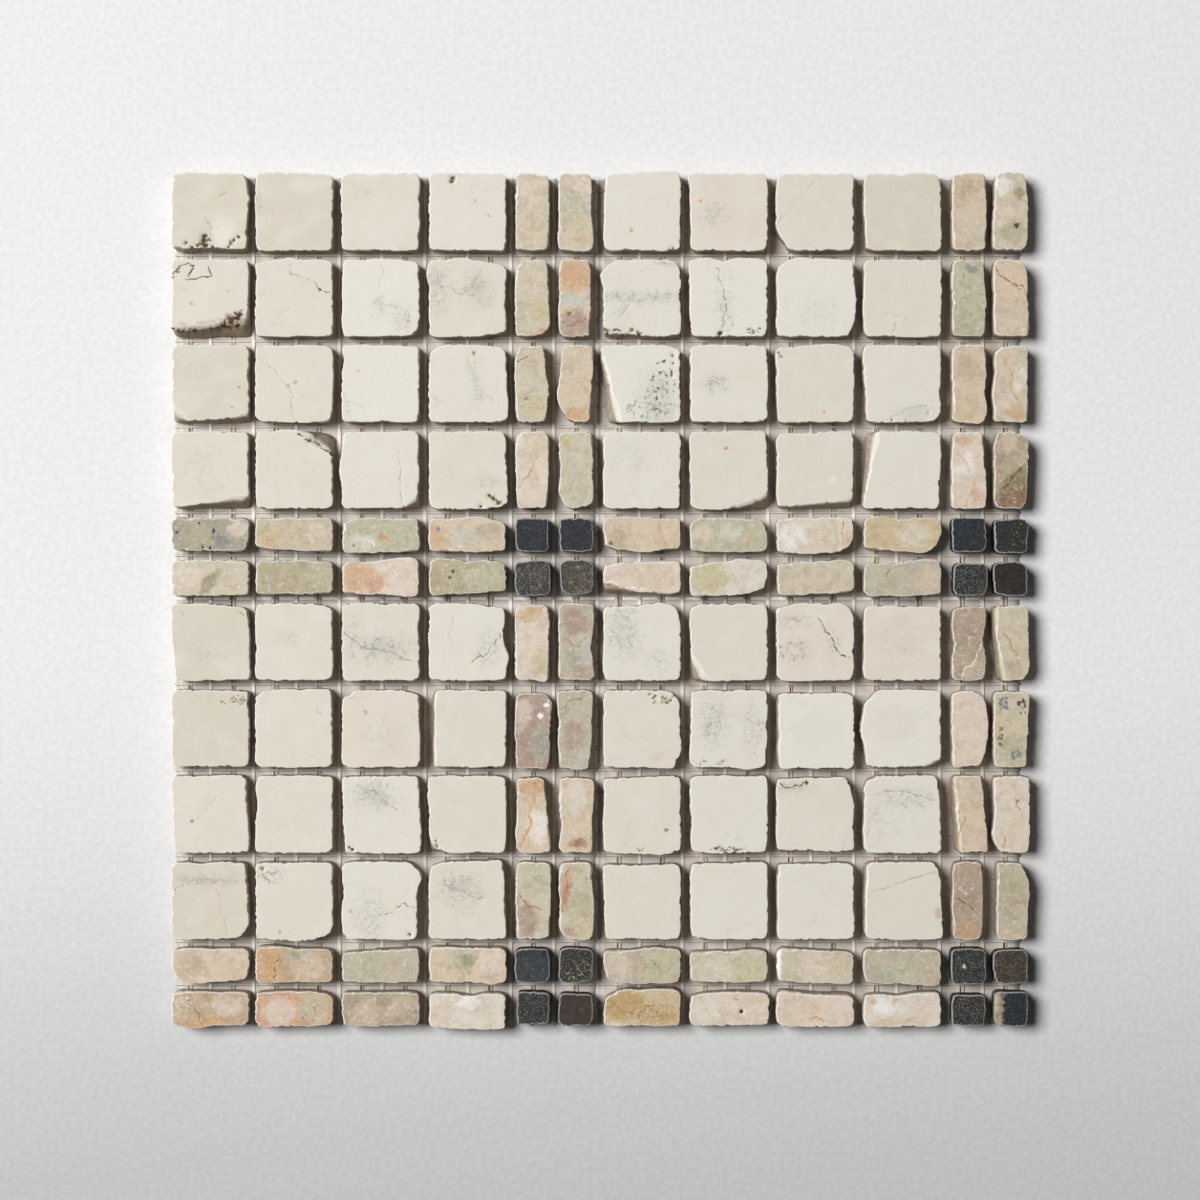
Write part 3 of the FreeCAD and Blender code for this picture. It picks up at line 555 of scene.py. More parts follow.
def row_3():
    """Green-grey threads in the squares, sage and peach strips."""
    stone(3, 1, "tan cream",
          spot("brown", 0.7, 0.8, (-148, 63)),
          spot("olive", 0.35, 0.7, (-127.5, 75), (-130, 68)))
    stone(3, 2, "cream",
          line("grey green", 0.4, 0.6, (-121, 86), (-117, 84), (-114, 79), (-110, 76), (-108.5, 72), (-108.5, 64)),
          spot("grey green", 0.6, 0.6, (-110, 75.5), (-107.5, 77)))
    stone(3, 3, "pale ivory",
          spot("orange", 0.6, 0.45, (-85, 81)),
          threads(-89, 68, 1.8, 5.5, 0.64),
          line("grey green", 0.3, 0.4, (-70, 68), (-67.5, 66)))
    stone(3, 4, "ivory",
          line("pale grey", 0.7, 0.6, (-47, 88), (-45, 80), (-42, 74), (-38, 70)),
          patch("grey green", -44, 78, 2, 7, 20, 0.14),
          threads(-44, 78, 2.6, 9.1, 0.56),
          threads(-43, 77, 2.5, 9, 0.4),
          spot("brown", 0.6, 0.7, (-44.5, 87)),
          spot("pale grey", 1.0, 0.5, (-58, 71)))
    stone(3, 5, "oatmeal",
          line("brown", 0.5, 0.8, (-29, 84), (-26, 86), (-24, 87.5)),
          patch("yellow green", -24, 69, 5, 4, 0, 0.8),
          spot("blue grey", 0.68, 0.7, (-26, 71)),
          line("orange", 0.5, 0.8, (-28, 68.5), (-24, 68), (-20, 67.5)))
    stone(3, 6, "peach",
          patch("orange", -9, 65, 5, 3, 0, 0.7),
          patch("oatmeal", -10, 84, 5, 4, 0, 0.6),
          specks("taupe", 0.29, 0.32, 16, -9, 80, 5, 8))
    stone(3, 7, "pale ivory",
          specks("dark olive", 0.24, 0.8, 46, 22, 75, 4.5, 10),
          specks("grey green", 0.3, 0.7, 50, 17, 67, 8, 4.5),
          patch("grey green", 21, 72, 5, 9, 0, 0.22),
          threads(20, 70, 7, 9, 0.8),
          pit(0.31, (25.6, 86), (26, 83.5), (25.4, 79)))
    stone(3, 8, "ivory",
          patch("pale grey", 41, 76.5, 3.5, 2.5, 30, 0.27),
          threads(41, 76.5, 4.5, 3.2, 0.8),
          line("grey green", 0.35, 0.5, (38, 74), (41, 77), (44, 78.5)),
          patch("pink", 52, 80, 4, 3, 0, 0.3))
    stone(3, 9, "cream",
          spot("blue grey", 0.7, 0.6, (62.8, 87.2), (64, 86)),
          spot("orange", 0.6, 0.8, (79, 66.3)))
    stone(3, 10, "ivory",
          patch("pale grey", 111, 65.5, 7, 2.6, 8, 0.6),
          line("grey green", 0.4, 0.6, (100, 63), (106, 66), (112, 68.6), (118, 70)),
          pit(0.27, (103, 63.4), (108, 63), (116, 66)))
    stone(3, 11, "peach",
          patch("taupe", 130, 82, 4, 5, 0, 0.4),
          patch("honey", 129, 67, 5, 4, 0, 0.5))
    stone(3, 12, "oatmeal",
          patch("peach", 143, 84, 4, 5, 20, 0.7),
          patch("white", 148, 78, 2.5, 4, 0, 0.6),
          patch("orange", 147, 66, 3.5, 2.5, 0, 0.6),
          patch("pink", 144, 72, 4, 4, 0, 0.5),
          line("gold", 0.6, 0.7, (141, 87), (145, 81), (146, 74), (149, 69)))


def row_4():
    """An olive crack at a clipped corner, long thin cracks, coral and sage strips."""
    stone(4, 1, "cream",
          threads(-140, 45, 8, 8, 0.32))
    stone(4, 2, "cream",
          line("dark olive", 0.75, 1.0, (-106.5, 58.5), (-104, 57), (-100, 55), (-97, 53), (-95.5, 50.5)),
          patch("khaki", -101, 56, 3, 1.2, -25, 0.7),
          pit(0.35, (-102, 56.4), (-99.5, 54.8)))
    stone(4, 3, "ivory",
          line("grey green", 0.35, 0.8, (-71.2, 52), (-70.4, 45), (-70.6, 39), (-70, 32.5)))
    stone(4, 4, "cream",
          pit(0.47, (-39, 37), (-36, 34.2), (-42, 32.8), (-37.5, 35.5)),
          spot("olive", 0.68, 0.7, (-38, 36), (-35.5, 34.5)),
          patch("pale grey", -39, 42, 2.5, 2, 0, 0.27),
          threads(-39, 42, 3.2, 2.6, 0.8))
    stone(4, 5, "pink",
          line("gold", 0.7, 0.8, (-29, 40), (-26, 44), (-22, 50)),
          patch("yellow green", -22, 54, 3, 3, 0, 0.5),
          patch("pink", -23, 37, 4, 4, 0, 0.6))
    stone(4, 6, "oatmeal",
          patch("yellow green", -13, 57, 2.5, 2.5, 0, 0.9),
          patch("sage", -8, 40, 4, 6, 0, 0.6),
          specks("gold", 0.29, 0.32, 16, -9, 45, 5, 11))
    stone(4, 7, "ivory",
          threads(10, 50, 7, 6, 0.32))
    stone(4, 8, "cream",
          spot("gold", 0.6, 0.8, (44.5, 53.5)))
    stone(4, 9, "cream",
          patch("white", 82.5, 43, 0.9, 1.3, 0, 0.8))
    stone(4, 10, "ivory",
          line("pale grey", 0.4, 0.5, (104, 52), (109, 47), (112, 40)))
    stone(4, 11, "pink",
          patch("white", 129, 47, 4, 4, 0, 0.6),
          patch("coral", 133, 36, 2.4, 3, 0, 0.6),
          patch("orange", 128, 56, 2.4, 2, 0, 0.5),
          line("coral", 0.5, 0.7, (127, 52), (131, 45), (132, 38), (129, 33)))
    stone(4, 12, "taupe",
          patch("peach", 144, 56, 3.4, 3.4, 0, 0.7),
          patch("khaki", 147, 46, 7, 4, 40, 0.95),
          patch("olive", 146, 42, 7, 2.6, 40, 0.75),
          patch("brown", 147, 35, 8, 5.5, 20, 0.95),
          line("dark olive", 0.8, 0.7, (141, 38.5), (146, 43.5), (151, 49)))


def row_5():
    """Lying strips in sage, honey and mottled peach; blue black squares."""
    stone(5, 1, "grey olive",
          patch("khaki", -143, 22, 6, 5, 0, 0.5),
          patch("pink", -128, 25, 3.5, 3, 0, 0.8),
          patch("blue grey", -133, 21, 2.5, 1.8, 0, 0.6),
          spot("blue black", 0.5, 0.9, (-149.3, 23.8), (-141.5, 27.2), (-137.6, 18.3)),
          line("blue black", 0.9, 0.9, (-136.4, 24.6), (-136.6, 21.6)),
          line("blue black", 0.7, 0.9, (-140, 19.8), (-140, 17.8)),
          specks("olive", 0.26, 0.35, 16, -144, 21, 7, 5))
    stone(5, 2, "beige",
          patch("honey", -117, 22.5, 6, 5, 0, 0.6),
          patch("orange", -117, 20.5, 2, 3, 0, 0.5),
          patch("pink", -100, 24, 4, 4, 0, 0.5),
          specks("gold", 0.29, 0.36, 22, -113, 22.5, 8, 5))
    stone(5, 3, "sage",
          patch("ivory", -84, 20, 5, 3, 0, 0.6),
          patch("orange", -76.5, 22.5, 1.8, 1.5, 0, 0.9),
          line("white", 0.5, 0.9, (-83.5, 22), (-81, 21), (-79.5, 19)),
          spot("blue grey", 0.6, 0.8, (-87, 19)),
          specks("olive", 0.26, 0.32, 24, -77, 23, 10, 5))
    stone(5, 4, "peach",
          patch("orange", -58, 22, 3, 5, 0, 0.6),
          patch("pale grey", -47, 22, 6, 3, 20, 0.7),
          patch("taupe", -39, 24, 4, 3, 0, 0.6),
          spot("blue grey", 0.75, 0.7, (-57, 25)),
          specks("brown", 0.26, 0.32, 20, -44, 22.5, 9, 5))
    stone(5, 5, "blue black",
          line("blue grey", 0.25, 0.5, (-28, 26), (-24, 24.5), (-21, 25)), flecks="blue grey")
    stone(5, 6, "blue black", flecks="blue grey")
    stone(5, 7, "peach",
          patch("taupe", 6, 21, 4, 4, 0, 0.5),
          line("coral", 0.8, 0.8, (21, 27), (22.5, 23), (24.5, 18)),
          spot("brown", 0.68, 0.8, (4, 20)))
    stone(5, 8, "sage",
          patch("pink", 36, 24, 4, 3, 0, 0.8),
          spot("coral", 1.2, 0.8, (52, 20)),
          patch("ivory", 46, 24, 5, 3, 0, 0.5),
          specks("blue grey", 0.26, 0.32, 24, 46, 22, 11, 5))
    stone(5, 9, "rosy cream",
          patch("white", 68, 22.5, 5, 4, 0, 0.6),
          patch("peach", 78, 22, 4, 6, 0, 0.6),
          line("honey", 1.6, 0.8, (82, 28.5), (83.5, 23), (82.5, 17)),
          line("gold", 0.5, 0.8, (85, 28), (86, 23), (84.6, 17)),
          patch("orange", 88, 20, 1.6, 4, 0, 0.5))
    stone(5, 10, "honey",
          patch("cream", 110, 23, 6, 4, 0, 0.7))
    stone(5, 11, "blue black", flecks="blue grey")
    stone(5, 12, "charcoal",
          specks("gold", 0.26, 0.42, 16, 148, 22.5, 2.5, 5.5), flecks="blue grey")


def row_6():
    """Mauve, khaki and coral strips; coppery black squares."""
    stone(6, 1, "oatmeal",
          patch("pink", -146, 8, 5, 5, 0, 0.8),
          patch("olive", -137.5, 6.5, 2, 6, -35, 0.6),
          patch("oatmeal", -130, 7, 4, 5, 0, 0.8))
    stone(6, 2, "khaki",
          patch("sage", -99, 9, 5, 4, 0, 0.7),
          specks("white", 0.21, 0.35, 22, -108, 7.5, 12, 5))
    stone(6, 3, "pink",
          patch("orange", -86, 8, 6, 6, 0, 0.7),
          patch("coral", -78.5, 5.5, 3, 3, 0, 0.9),
          specks("rust", 0.26, 0.32, 16, -83, 7, 6, 5))
    stone(6, 4, "khaki",
          patch("sage", -40, 8, 5, 5, 0, 0.7),
          spot("dark olive", 0.6, 0.9, (-53, 8), (-52, 10)),
          patch("oatmeal", -45, 8, 3, 3, 20, 0.7),
          specks("olive", 0.29, 0.36, 26, -50, 7.5, 9, 5))
    stone(6, 5, "charcoal",
          patch("iron grey", -24, 7.5, 7, 7, 0, 0.3),
          specks("copper", 0.3, 0.5, 34, -24, 7.5, 5, 5),
          specks("pale grey", 0.2, 0.3, 40, -24, 7.5, 5, 5), flecks="pale grey")
    stone(6, 6, "charcoal",
          patch("iron grey", -7.5, 7.5, 7, 7, 0, 0.5),
          specks("copper", 0.32, 0.5, 44, -7.5, 7.5, 5, 5),
          specks("pale grey", 0.2, 0.28, 40, -7.5, 7.5, 5, 5), flecks="oatmeal")
    stone(6, 7, "pink",
          patch("peach", 18, 8, 8, 5, 0, 0.6),
          ledge(0.9, 0.9, "taupe", (0, 7), (16, 2.2)),
          specks("dark brown", 0.29, 0.42, 14, 5, 3.6, 4, 1.4),
          line("white", 0.5, 0.9, (15, 3), (8, 4.8), (1, 7.6)),
          specks("coral", 0.29, 0.32, 14, 18, 8, 8, 5))
    stone(6, 8, "cream",
          patch("yellow green", 39, 8, 7, 6, 0, 0.9),
          specks("gold", 0.29, 0.36, 24, 40, 7.5, 7, 5))
    stone(6, 9, "oatmeal",
          patch("peach", 82, 8, 6, 4, 0, 0.5),
          specks("taupe", 0.29, 0.32, 24, 75, 7.5, 12, 5))
    stone(6, 10, "putty",
          patch("sage", 96, 8, 5, 5, 0, 0.7),
          line("dark brown", 0.45, 0.9, (101.3, 8.6), (102.6, 10.6)),
          patch("peach", 116, 7, 4, 4, 0, 0.6))
    stone(6, 11, "charcoal")
    stone(6, 12, "charcoal", flecks="copper")


def row_7():
    """Speckled and cracked squares, a red and mauve strip, taupe with pale scratches."""
    stone(7, 1, "tan cream",
          line("brown", 0.35, 0.7, (-147.6, -3.8), (-146.4, -5.2)),
          line("brown", 0.35, 0.7, (-127, -4), (-126, -5.2)),
          threads(-138, -18, 7, 6, 0.32))
    stone(7, 2, "cream",
          patch("pale grey", -110, -14, 3, 2, 30, 0.18),
          threads(-110, -14, 3.9, 2.6, 0.64))
    stone(7, 3, "cream",
          line("grey green", 0.6, 0.8, (-90, -12), (-85, -16), (-79, -17), (-72, -20), (-66, -22)),
          line("olive", 0.3, 0.6, (-84, -16), (-78, -17.5)),
          patch("grey green", -77, -17, 9, 3, -20, 0.22),
          threads(-77, -17, 11, 4.5, 1),
          threads(-87, -10, 3, 5, 0.5))
    stone(7, 4, "ivory",
          line("olive", 0.45, 0.8, (-45, -22), (-40, -19), (-37, -16), (-35, -11)),
          line("grey green", 0.4, 0.6, (-42, -24), (-38, -20), (-36, -15)),
          line("pale grey", 0.5, 0.7, (-52, -6), (-53, -11), (-52, -16)),
          threads(-39, -17, 4, 6, 0.6))
    stone(7, 5, "pink",
          patch("gold", -24, -5, 5, 2.5, 10, 0.5),
          line("orange", 0.8, 0.8, (-29.5, -7), (-25, -4.5), (-19.5, -2.5)),
          patch("yellow green", -21, -22, 3.5, 5, 0, 0.7),
          specks("orange", 0.29, 0.32, 12, -25, -10, 4, 6))
    stone(7, 6, "putty",
          patch("mauve", -9, -8, 4, 5, 0, 0.9),
          patch("pale grey", -4.5, -18, 3, 6, 20, 0.6),
          patch("grey green", -9.5, -21, 3, 4, 0, 0.5),
          patch("mauve", -5, -26, 4, 3, 0, 0.6),
          line("mauve", 0.7, 0.9, (-12, -14), (-8, -17), (-5, -13), (-3, -9)),
          line("rust", 0.3, 0.5, (-11, -5), (-8, -10), (-9, -15)),
          threads(-8, -20, 5, 8, 0.6))
    stone(7, 7, "ivory",
          threads(8.5, -11, 6, 9, 0.8),
          patch("grey green", 8, -11, 4, 6, 0, 0.14),
          threads(8, -11, 5.2, 7.8, 0.56),
          threads(20, -22, 5, 4, 0.4))
    stone(7, 8, "cream",
          threads(49, -27, 3, 1.2, 0.48))
    stone(7, 9, "rosy cream",
          threads(68.5, -8, 6, 2.4, 0.8),
          threads(69, -18, 5, 4, 0.7),
          specks("grey green", 0.35, 0.7, 16, 68, -18, 5, 4),
          line("dark olive", 0.45, 0.9, (76, -6), (79, -10), (82, -14), (84, -18), (88.3, -20)),
          line("grey green", 0.4, 0.6, (64, -6), (70, -7), (76, -6)),
          threads(82, -14, 2.4, 6.5, 0.6))
    stone(7, 10, "rosy cream",
          threads(106, -15, 8, 8, 0.32))
    stone(7, 11, "taupe",
          patch("mauve", 129, -8, 4, 4, 0, 0.5),
          patch("oatmeal", 132, -24, 4, 4, 0, 0.6),
          line("white", 0.4, 0.9, (135, -16), (131, -22), (127, -27.5)),
          line("white", 0.3, 0.7, (133, -10), (129, -16)),
          spot("blue grey", 0.68, 0.8, (132, -12)))
    stone(7, 12, "oatmeal",
          line("gold", 0.6, 0.9, (143, -11), (145, -16), (148, -22)),
          patch("taupe", 146, -24, 3, 3, 0, 0.5))


def row_8():
    """Brown pits at the edges, an orange crack, pale squares on the right."""
    stone(8, 1, "tan cream",
          specks("dark olive", 0.22, 0.6, 16, -128, -35, 3.4, 1.4),
          specks("brown", 0.3, 0.6, 12, -130, -36.5, 4, 2),
          patch("peach", -149.5, -40, 1.6, 1.6, 0, 0.3))
    stone(8, 2, "cream",
          line("grey green", 0.5, 0.6, (-99.5, -37.5), (-99, -39.5), (-98, -41)))
    stone(8, 3, "rosy cream",
          spot("grey green", 0.68, 0.6, (-82.5, -39.5)),
          threads(-76, -48, 7, 6, 0.4))
    stone(8, 4, "cream",
          line("pale grey", 0.5, 0.5, (-52, -36), (-50, -42), (-46, -45)))
    stone(8, 5, "mauve",
          patch("grey green", -21, -51, 4, 6, 0, 0.7),
          patch("pink", -27, -40, 3, 5, 0, 0.7),
          spot("white", 0.9, 0.9, (-18.9, -37), (-21, -41)),
          spot("mauve", 1.0, 0.8, (-25, -46)))
    stone(8, 6, "putty",
          patch("mauve", -9, -48, 4, 6, 0, 0.6),
          patch("pale grey", -6, -56, 4, 4, 0, 0.5),
          patch("sage", -10, -36, 4, 3, 0, 0.5),
          line("rust", 0.5, 0.8, (-14, -39), (-10, -36), (-6, -33.8)),
          line("mauve", 0.5, 0.7, (-13, -44), (-9, -49), (-6, -53), (-5, -59)),
          line("rust", 0.3, 0.6, (-10, -41), (-7, -46)))
    stone(8, 7, "cream",
          pit(0.35, (17.5, -33.4), (19.5, -33.8), (25, -35.5)),
          specks("olive", 0.35, 0.8, 14, 22, -35, 5, 1.6),
          patch("peach", 20, -55, 3, 2, 20, 0.5),
          line("pale grey", 0.4, 0.6, (4, -44), (10, -48), (16, -54)))
    stone(8, 8, "ivory",
          threads(40, -42, 5, 9, 0.8),
          threads(54, -45, 3.5, 10, 0.6),
          patch("grey green", 40, -42, 4, 7, 0, 0.12),
          specks("olive", 0.25, 0.7, 20, 38, -57, 8, 1.4))
    stone(8, 9, "pale ivory",
          patch("ivory", 76, -46, 8, 6, 0, 0.6))
    stone(8, 10, "pale ivory",
          patch("rosy cream", 104, -44, 8, 6, 0, 0.6))
    stone(8, 11, "pink",
          patch("pink", 131, -39, 4, 5, 0, 0.7),
          specks("coral", 0.29, 0.27, 14, 130, -46, 5, 11))
    stone(8, 12, "oatmeal",
          patch("khaki", 146, -52, 4, 6, 0, 0.7),
          specks("blue grey", 0.45, 0.8, 16, 142.6, -36.5, 1.8, 2.4),
          specks("dark olive", 0.5, 0.8, 12, 149, -38, 1.6, 3),
          specks("olive", 0.5, 0.8, 14, 141.2, -47, 1, 4),
          specks("blue grey", 0.5, 0.8, 16, 146.5, -54.5, 2, 2),
          line("gold", 0.7, 0.6, (140.8, -38), (141.4, -43), (140.8, -48)),
          patch("peach", 146, -45, 3, 4, 0, 0.5))


def row_9():
    """Grey-green blotches, dark cracks, a strip with an orange vein."""
    stone(9, 1, "cream",
          line("pale grey", 0.45, 0.6, (-142, -78), (-139, -74), (-136, -70)),
          spot("blue grey", 0.6, 0.7, (-144, -78)))
    stone(9, 2, "cream",
          line("pale grey", 0.4, 0.4, (-117, -84), (-110, -80), (-104, -75)))
    stone(9, 3, "ivory",
          patch("grey green", -80, -69, 6.5, 3.5, -25, 0.2),
          threads(-80, -69, 8.5, 4.5, 0.68),
          line("grey green", 0.5, 0.7, (-86, -66), (-80, -67), (-76, -71), (-72, -74)),
          threads(-79, -69, 7, 5, 0.56),
          pit(0.39, (-88.5, -87.4), (-87.2, -88.2)))
    stone(9, 4, "cream",
          pit(0.39, (-58, -85), (-57.6, -87)),
          spot("olive", 0.6, 0.7, (-57.8, -86)))
    stone(9, 5, "peach",
          patch("orange", -24, -66, 5, 3, 0, 0.7),
          patch("white", -22, -80, 4, 6, 0, 0.6),
          line("orange", 0.8, 0.9, (-23.5, -70), (-25, -79), (-27.5, -87.5)),
          specks("brown", 0.32, 0.42, 20, -24, -66, 5, 3))
    stone(9, 6, "peach",
          patch("cream", -9, -70, 4, 6, 0, 0.7),
          patch("rust", -7.5, -86, 3.5, 1.6, 0, 0.8),
          specks("gold", 0.29, 0.32, 18, -9, -78, 5, 8))
    stone(9, 7, "cream",
          line("olive", 0.4, 0.8, (12.5, -87.5), (14.5, -88.6), (16, -87.8)),
          spot("blue grey", 0.7, 0.7, (23.5, -81)))
    stone(9, 8, "ivory",
          specks("dark olive", 0.3, 0.8, 16, 44, -88.2, 5, 0.9),
          specks("olive", 0.4, 0.6, 16, 45, -87.6, 6, 1.3),
          line("pale grey", 0.35, 0.4, (52, -70), (56, -76)))
    stone(9, 9, "cream",
          line("dark olive", 0.45, 0.9, (63.5, -64.3), (67, -65.6), (71, -65.2), (73.6, -64)),
          pit(0.55, (73, -64.4)),
          patch("grey green", 68, -66, 5, 1.2, 0, 0.18),
          threads(68, -66, 6.5, 1.6, 0.64))
    stone(9, 10, "ivory",
          line("grey green", 0.5, 0.8, (97, -69.5), (102, -67), (108, -67.6), (113, -68.6), (117.5, -70.5)),
          line("grey green", 0.4, 0.7, (99, -72), (96, -77), (94.5, -83)),
          line("olive", 0.35, 0.6, (111, -71), (114, -73.5)),
          threads(108, -70, 10, 3.5, 0.7),
          threads(97, -78, 3, 7, 0.5))
    stone(9, 11, "peach",
          line("taupe", 0.6, 0.8, (129.5, -73), (128, -79), (126.5, -84)),
          patch("oatmeal", 131, -68, 4, 4, 0, 0.6))
    stone(9, 12, "pink",
          patch("cream", 141, -76, 3, 6, 0, 0.7),
          line("brown", 0.5, 0.9, (145.5, -70), (147.5, -71), (146.5, -73), (148.6, -74)),
          line("gold", 0.6, 0.9, (141.5, -82), (143.5, -84), (142.5, -87)))


def row_10():
    """An orange vein and an olive pitted corner, rose brown and rust strips."""
    stone(10, 1, "tan cream",
          patch("grey green", -138, -99, 11, 1.2, -3, 0.23),
          threads(-138, -99, 12, 2, 0.8),
          line("grey green", 0.5, 0.6, (-151, -104), (-146, -99.5), (-139, -98.5), (-128, -99)),
          line("orange", 0.4, 0.55, (-137.2, -99.5), (-134, -104), (-133, -109), (-132, -118)),
          line("brown", 0.3, 0.5, (-146, -95.5), (-143, -93.8), (-140, -95.2)))
    stone(10, 2, "cream",
          specks("dark olive", 0.22, 0.6, 16, -117.5, -96.5, 3.2, 2.8),
          specks("grey green", 0.4, 0.5, 20, -115, -98, 5, 4),
          pit(0.28, (-119, -95), (-117.5, -98.6)),
          spot("grey green", 0.6, 0.6, (-113, -117)))
    stone(10, 3, "ivory",
          threads(-81, -111.5, 5, 8, 0.8),
          spot("grey green", 0.68, 0.6, (-88, -110)),
          line("olive", 0.4, 0.8, (-77, -112), (-73, -109.5), (-70, -107), (-66, -109)),
          pit(0.47, (-67, -118)))
    stone(10, 4, "cream",
          patch("grey green", -49.5, -101.5, 4.5, 3.5, 35, 0.2),
          line("grey green", 0.7, 0.7, (-55, -97), (-53, -102), (-48, -103.5), (-44, -106), (-40, -105)),
          threads(-49.5, -102, 8, 5.5, 0.9))
    stone(10, 5, "oatmeal",
          patch("sage", -22, -98, 4, 5, 0, 0.7),
          patch("mauve", -26, -113, 3.5, 6, 0, 0.9),
          line("rust", 0.5, 0.8, (-29, -104), (-25, -108), (-21, -110)),
          specks("coral", 0.32, 0.36, 22, -25, -104, 4, 8))
    stone(10, 6, "oatmeal",
          patch("coral", -12, -101, 2, 7, -10, 0.8),
          patch("rust", -11.6, -104, 1.2, 5, -10, 0.5),
          patch("khaki", -6, -107, 4, 7, 0, 0.5),
          patch("honey", -7, -116, 4, 3, 0, 0.6),
          patch("rust", -11, -117, 1.6, 1.2, 0, 0.5),
          line("rust", 0.5, 0.7, (-10, -94), (-12, -101), (-13, -110)),
          line("olive", 0.4, 0.6, (-8, -94), (-5, -97), (-4.4, -101)))
    stone(10, 7, "cream")
    stone(10, 8, "ivory",
          patch("pink", 45, -96, 8, 3, 0, 0.35))
    stone(10, 9, "ivory",
          threads(73, -99, 3, 3, 0.2))
    stone(10, 10, "cream",
          line("taupe", 0.35, 0.8, (97, -103), (102, -101.5), (107, -99), (118, -96.5)),
          patch("fawn", 119.5, -111, 1.4, 2.4, 20, 0.7))
    stone(10, 11, "taupe",
          patch("mauve", 129, -104, 4, 5, 0, 0.5),
          patch("orange", 129, -116, 4, 3, 0, 0.5),
          line("dark brown", 0.45, 0.8, (125.5, -104.5), (129, -107), (133, -109.5)),
          line("brown", 0.3, 0.6, (129, -107), (133.5, -108)),
          specks("white", 0.5, 0.42, 8, 129.5, -100, 3, 4),
          specks("taupe", 0.29, 0.32, 18, 129, -104, 5, 8))
    stone(10, 12, "putty",
          patch("khaki", 146, -103, 5, 7, 0, 0.6),
          patch("sage", 146, -96, 4, 4, 0, 0.6),
          patch("honey", 146, -118, 5, 4, 0, 0.5),
          line("olive", 0.4, 0.5, (141, -107), (146, -105), (151, -107)),
          specks("dark olive", 0.2, 0.5, 16, 146, -106, 5, 8))


def row_11():
    """Strips in two or three tones each, with gold and green stains."""
    stone(11, 1, "peach",
          patch("taupe", -144, -129, 5, 4, 0, 0.5),
          patch("honey", -130, -131, 4, 4, 0, 0.5))
    stone(11, 2, "fawn",
          patch("orange", -117, -129, 5, 6, 0, 0.7),
          patch("pink", -103, -129, 6, 5, 0, 0.45),
          patch("grey green", -108, -126, 5, 1.5, 20, 0.7),
          line("dark brown", 0.45, 0.9, (-113.5, -127), (-114.5, -130), (-115, -133.6)))
    stone(11, 3, "putty",
          patch("sage", -85, -129, 8, 6, 0, 0.9),
          specks("dark olive", 0.26, 0.36, 30, -85, -129, 7, 5),
          specks("gold", 0.29, 0.32, 14, -76, -129.5, 8, 5))
    stone(11, 4, "peach",
          patch("pink", -39.5, -129, 4.5, 5, 0, 0.9),
          patch("sage", -48, -127, 5, 4, 0, 0.9),
          patch("olive", -47, -127.5, 2.5, 2, 0, 0.5),
          line("gold", 0.8, 0.8, (-51, -129), (-48, -133), (-45, -130), (-43, -126)),
          patch("taupe", -38.5, -132.5, 2, 2, 0, 0.6),
          specks("gold", 0.32, 0.36, 26, -47, -131, 5, 3))
    stone(11, 5, "blue black",
          patch("blue grey", -24, -131.5, 7, 7, 0, 0.12), flecks="blue grey")
    stone(11, 6, "charcoal",
          specks("pale grey", 0.22, 0.34, 44, -7.5, -131.5, 5, 5),
          specks("honey", 0.24, 0.5, 18, -7.5, -130, 5, 4), flecks="oatmeal")
    stone(11, 7, "putty",
          patch("pink", 6, -129, 5, 5, 0, 0.5),
          patch("sage", 21, -129, 7, 6, 0, 0.9),
          patch("yellow green", 22, -128, 4, 4, 0, 0.6),
          line("gold", 0.6, 0.8, (13, -124), (16, -129), (14.5, -134)),
          line("olive", 0.4, 0.6, (18, -126), (22, -131), (26, -129)),
          specks("mauve", 0.29, 0.32, 16, 8, -129, 6, 5))
    stone(11, 8, "oatmeal",
          patch("rosy cream", 40, -131, 7, 4, 0, 0.7),
          patch("yellow green", 54, -131.5, 7, 5, 0, 0.6),
          line("honey", 0.5, 0.6, (35, -129), (41, -131), (46, -130)),
          specks("khaki", 0.3, 0.6, 18, 54, -131, 7, 4))
    stone(11, 9, "oatmeal",
          ledge(0.8, 1.0, "white", (64.1, -123), (63.9, -136)),
          patch("pink", 76, -129.5, 5, 6, -30, 0.8),
          patch("honey", 86, -128, 4, 4, 0, 0.5),
          line("peach", 0.9, 0.7, (69, -126), (76, -130), (83, -135)),
          line("taupe", 0.35, 0.5, (74, -126), (80, -130), (88, -133)),
          specks("pale grey", 0.28, 0.5, 16, 70, -131, 5, 3))
    stone(11, 10, "putty",
          patch("sage", 104, -131.5, 9, 4, 0, 0.7),
          patch("grey olive", 100, -134, 5, 3, 0, 0.5),
          patch("fawn", 118, -134.5, 3, 2, 0, 0.6),
          line("olive", 0.35, 0.5, (112, -127), (115, -132), (113, -136)),
          specks("pale grey", 0.3, 0.6, 20, 108, -131.5, 12, 4))
    stone(11, 11, "charcoal",
          spot("pale grey", 0.5, 0.8, (128.4, -129.4)))
    stone(11, 12, "coppery charcoal",
          specks("copper", 0.36, 0.42, 24, 144.5, -129.5, 5.5, 5.5), flecks="taupe")


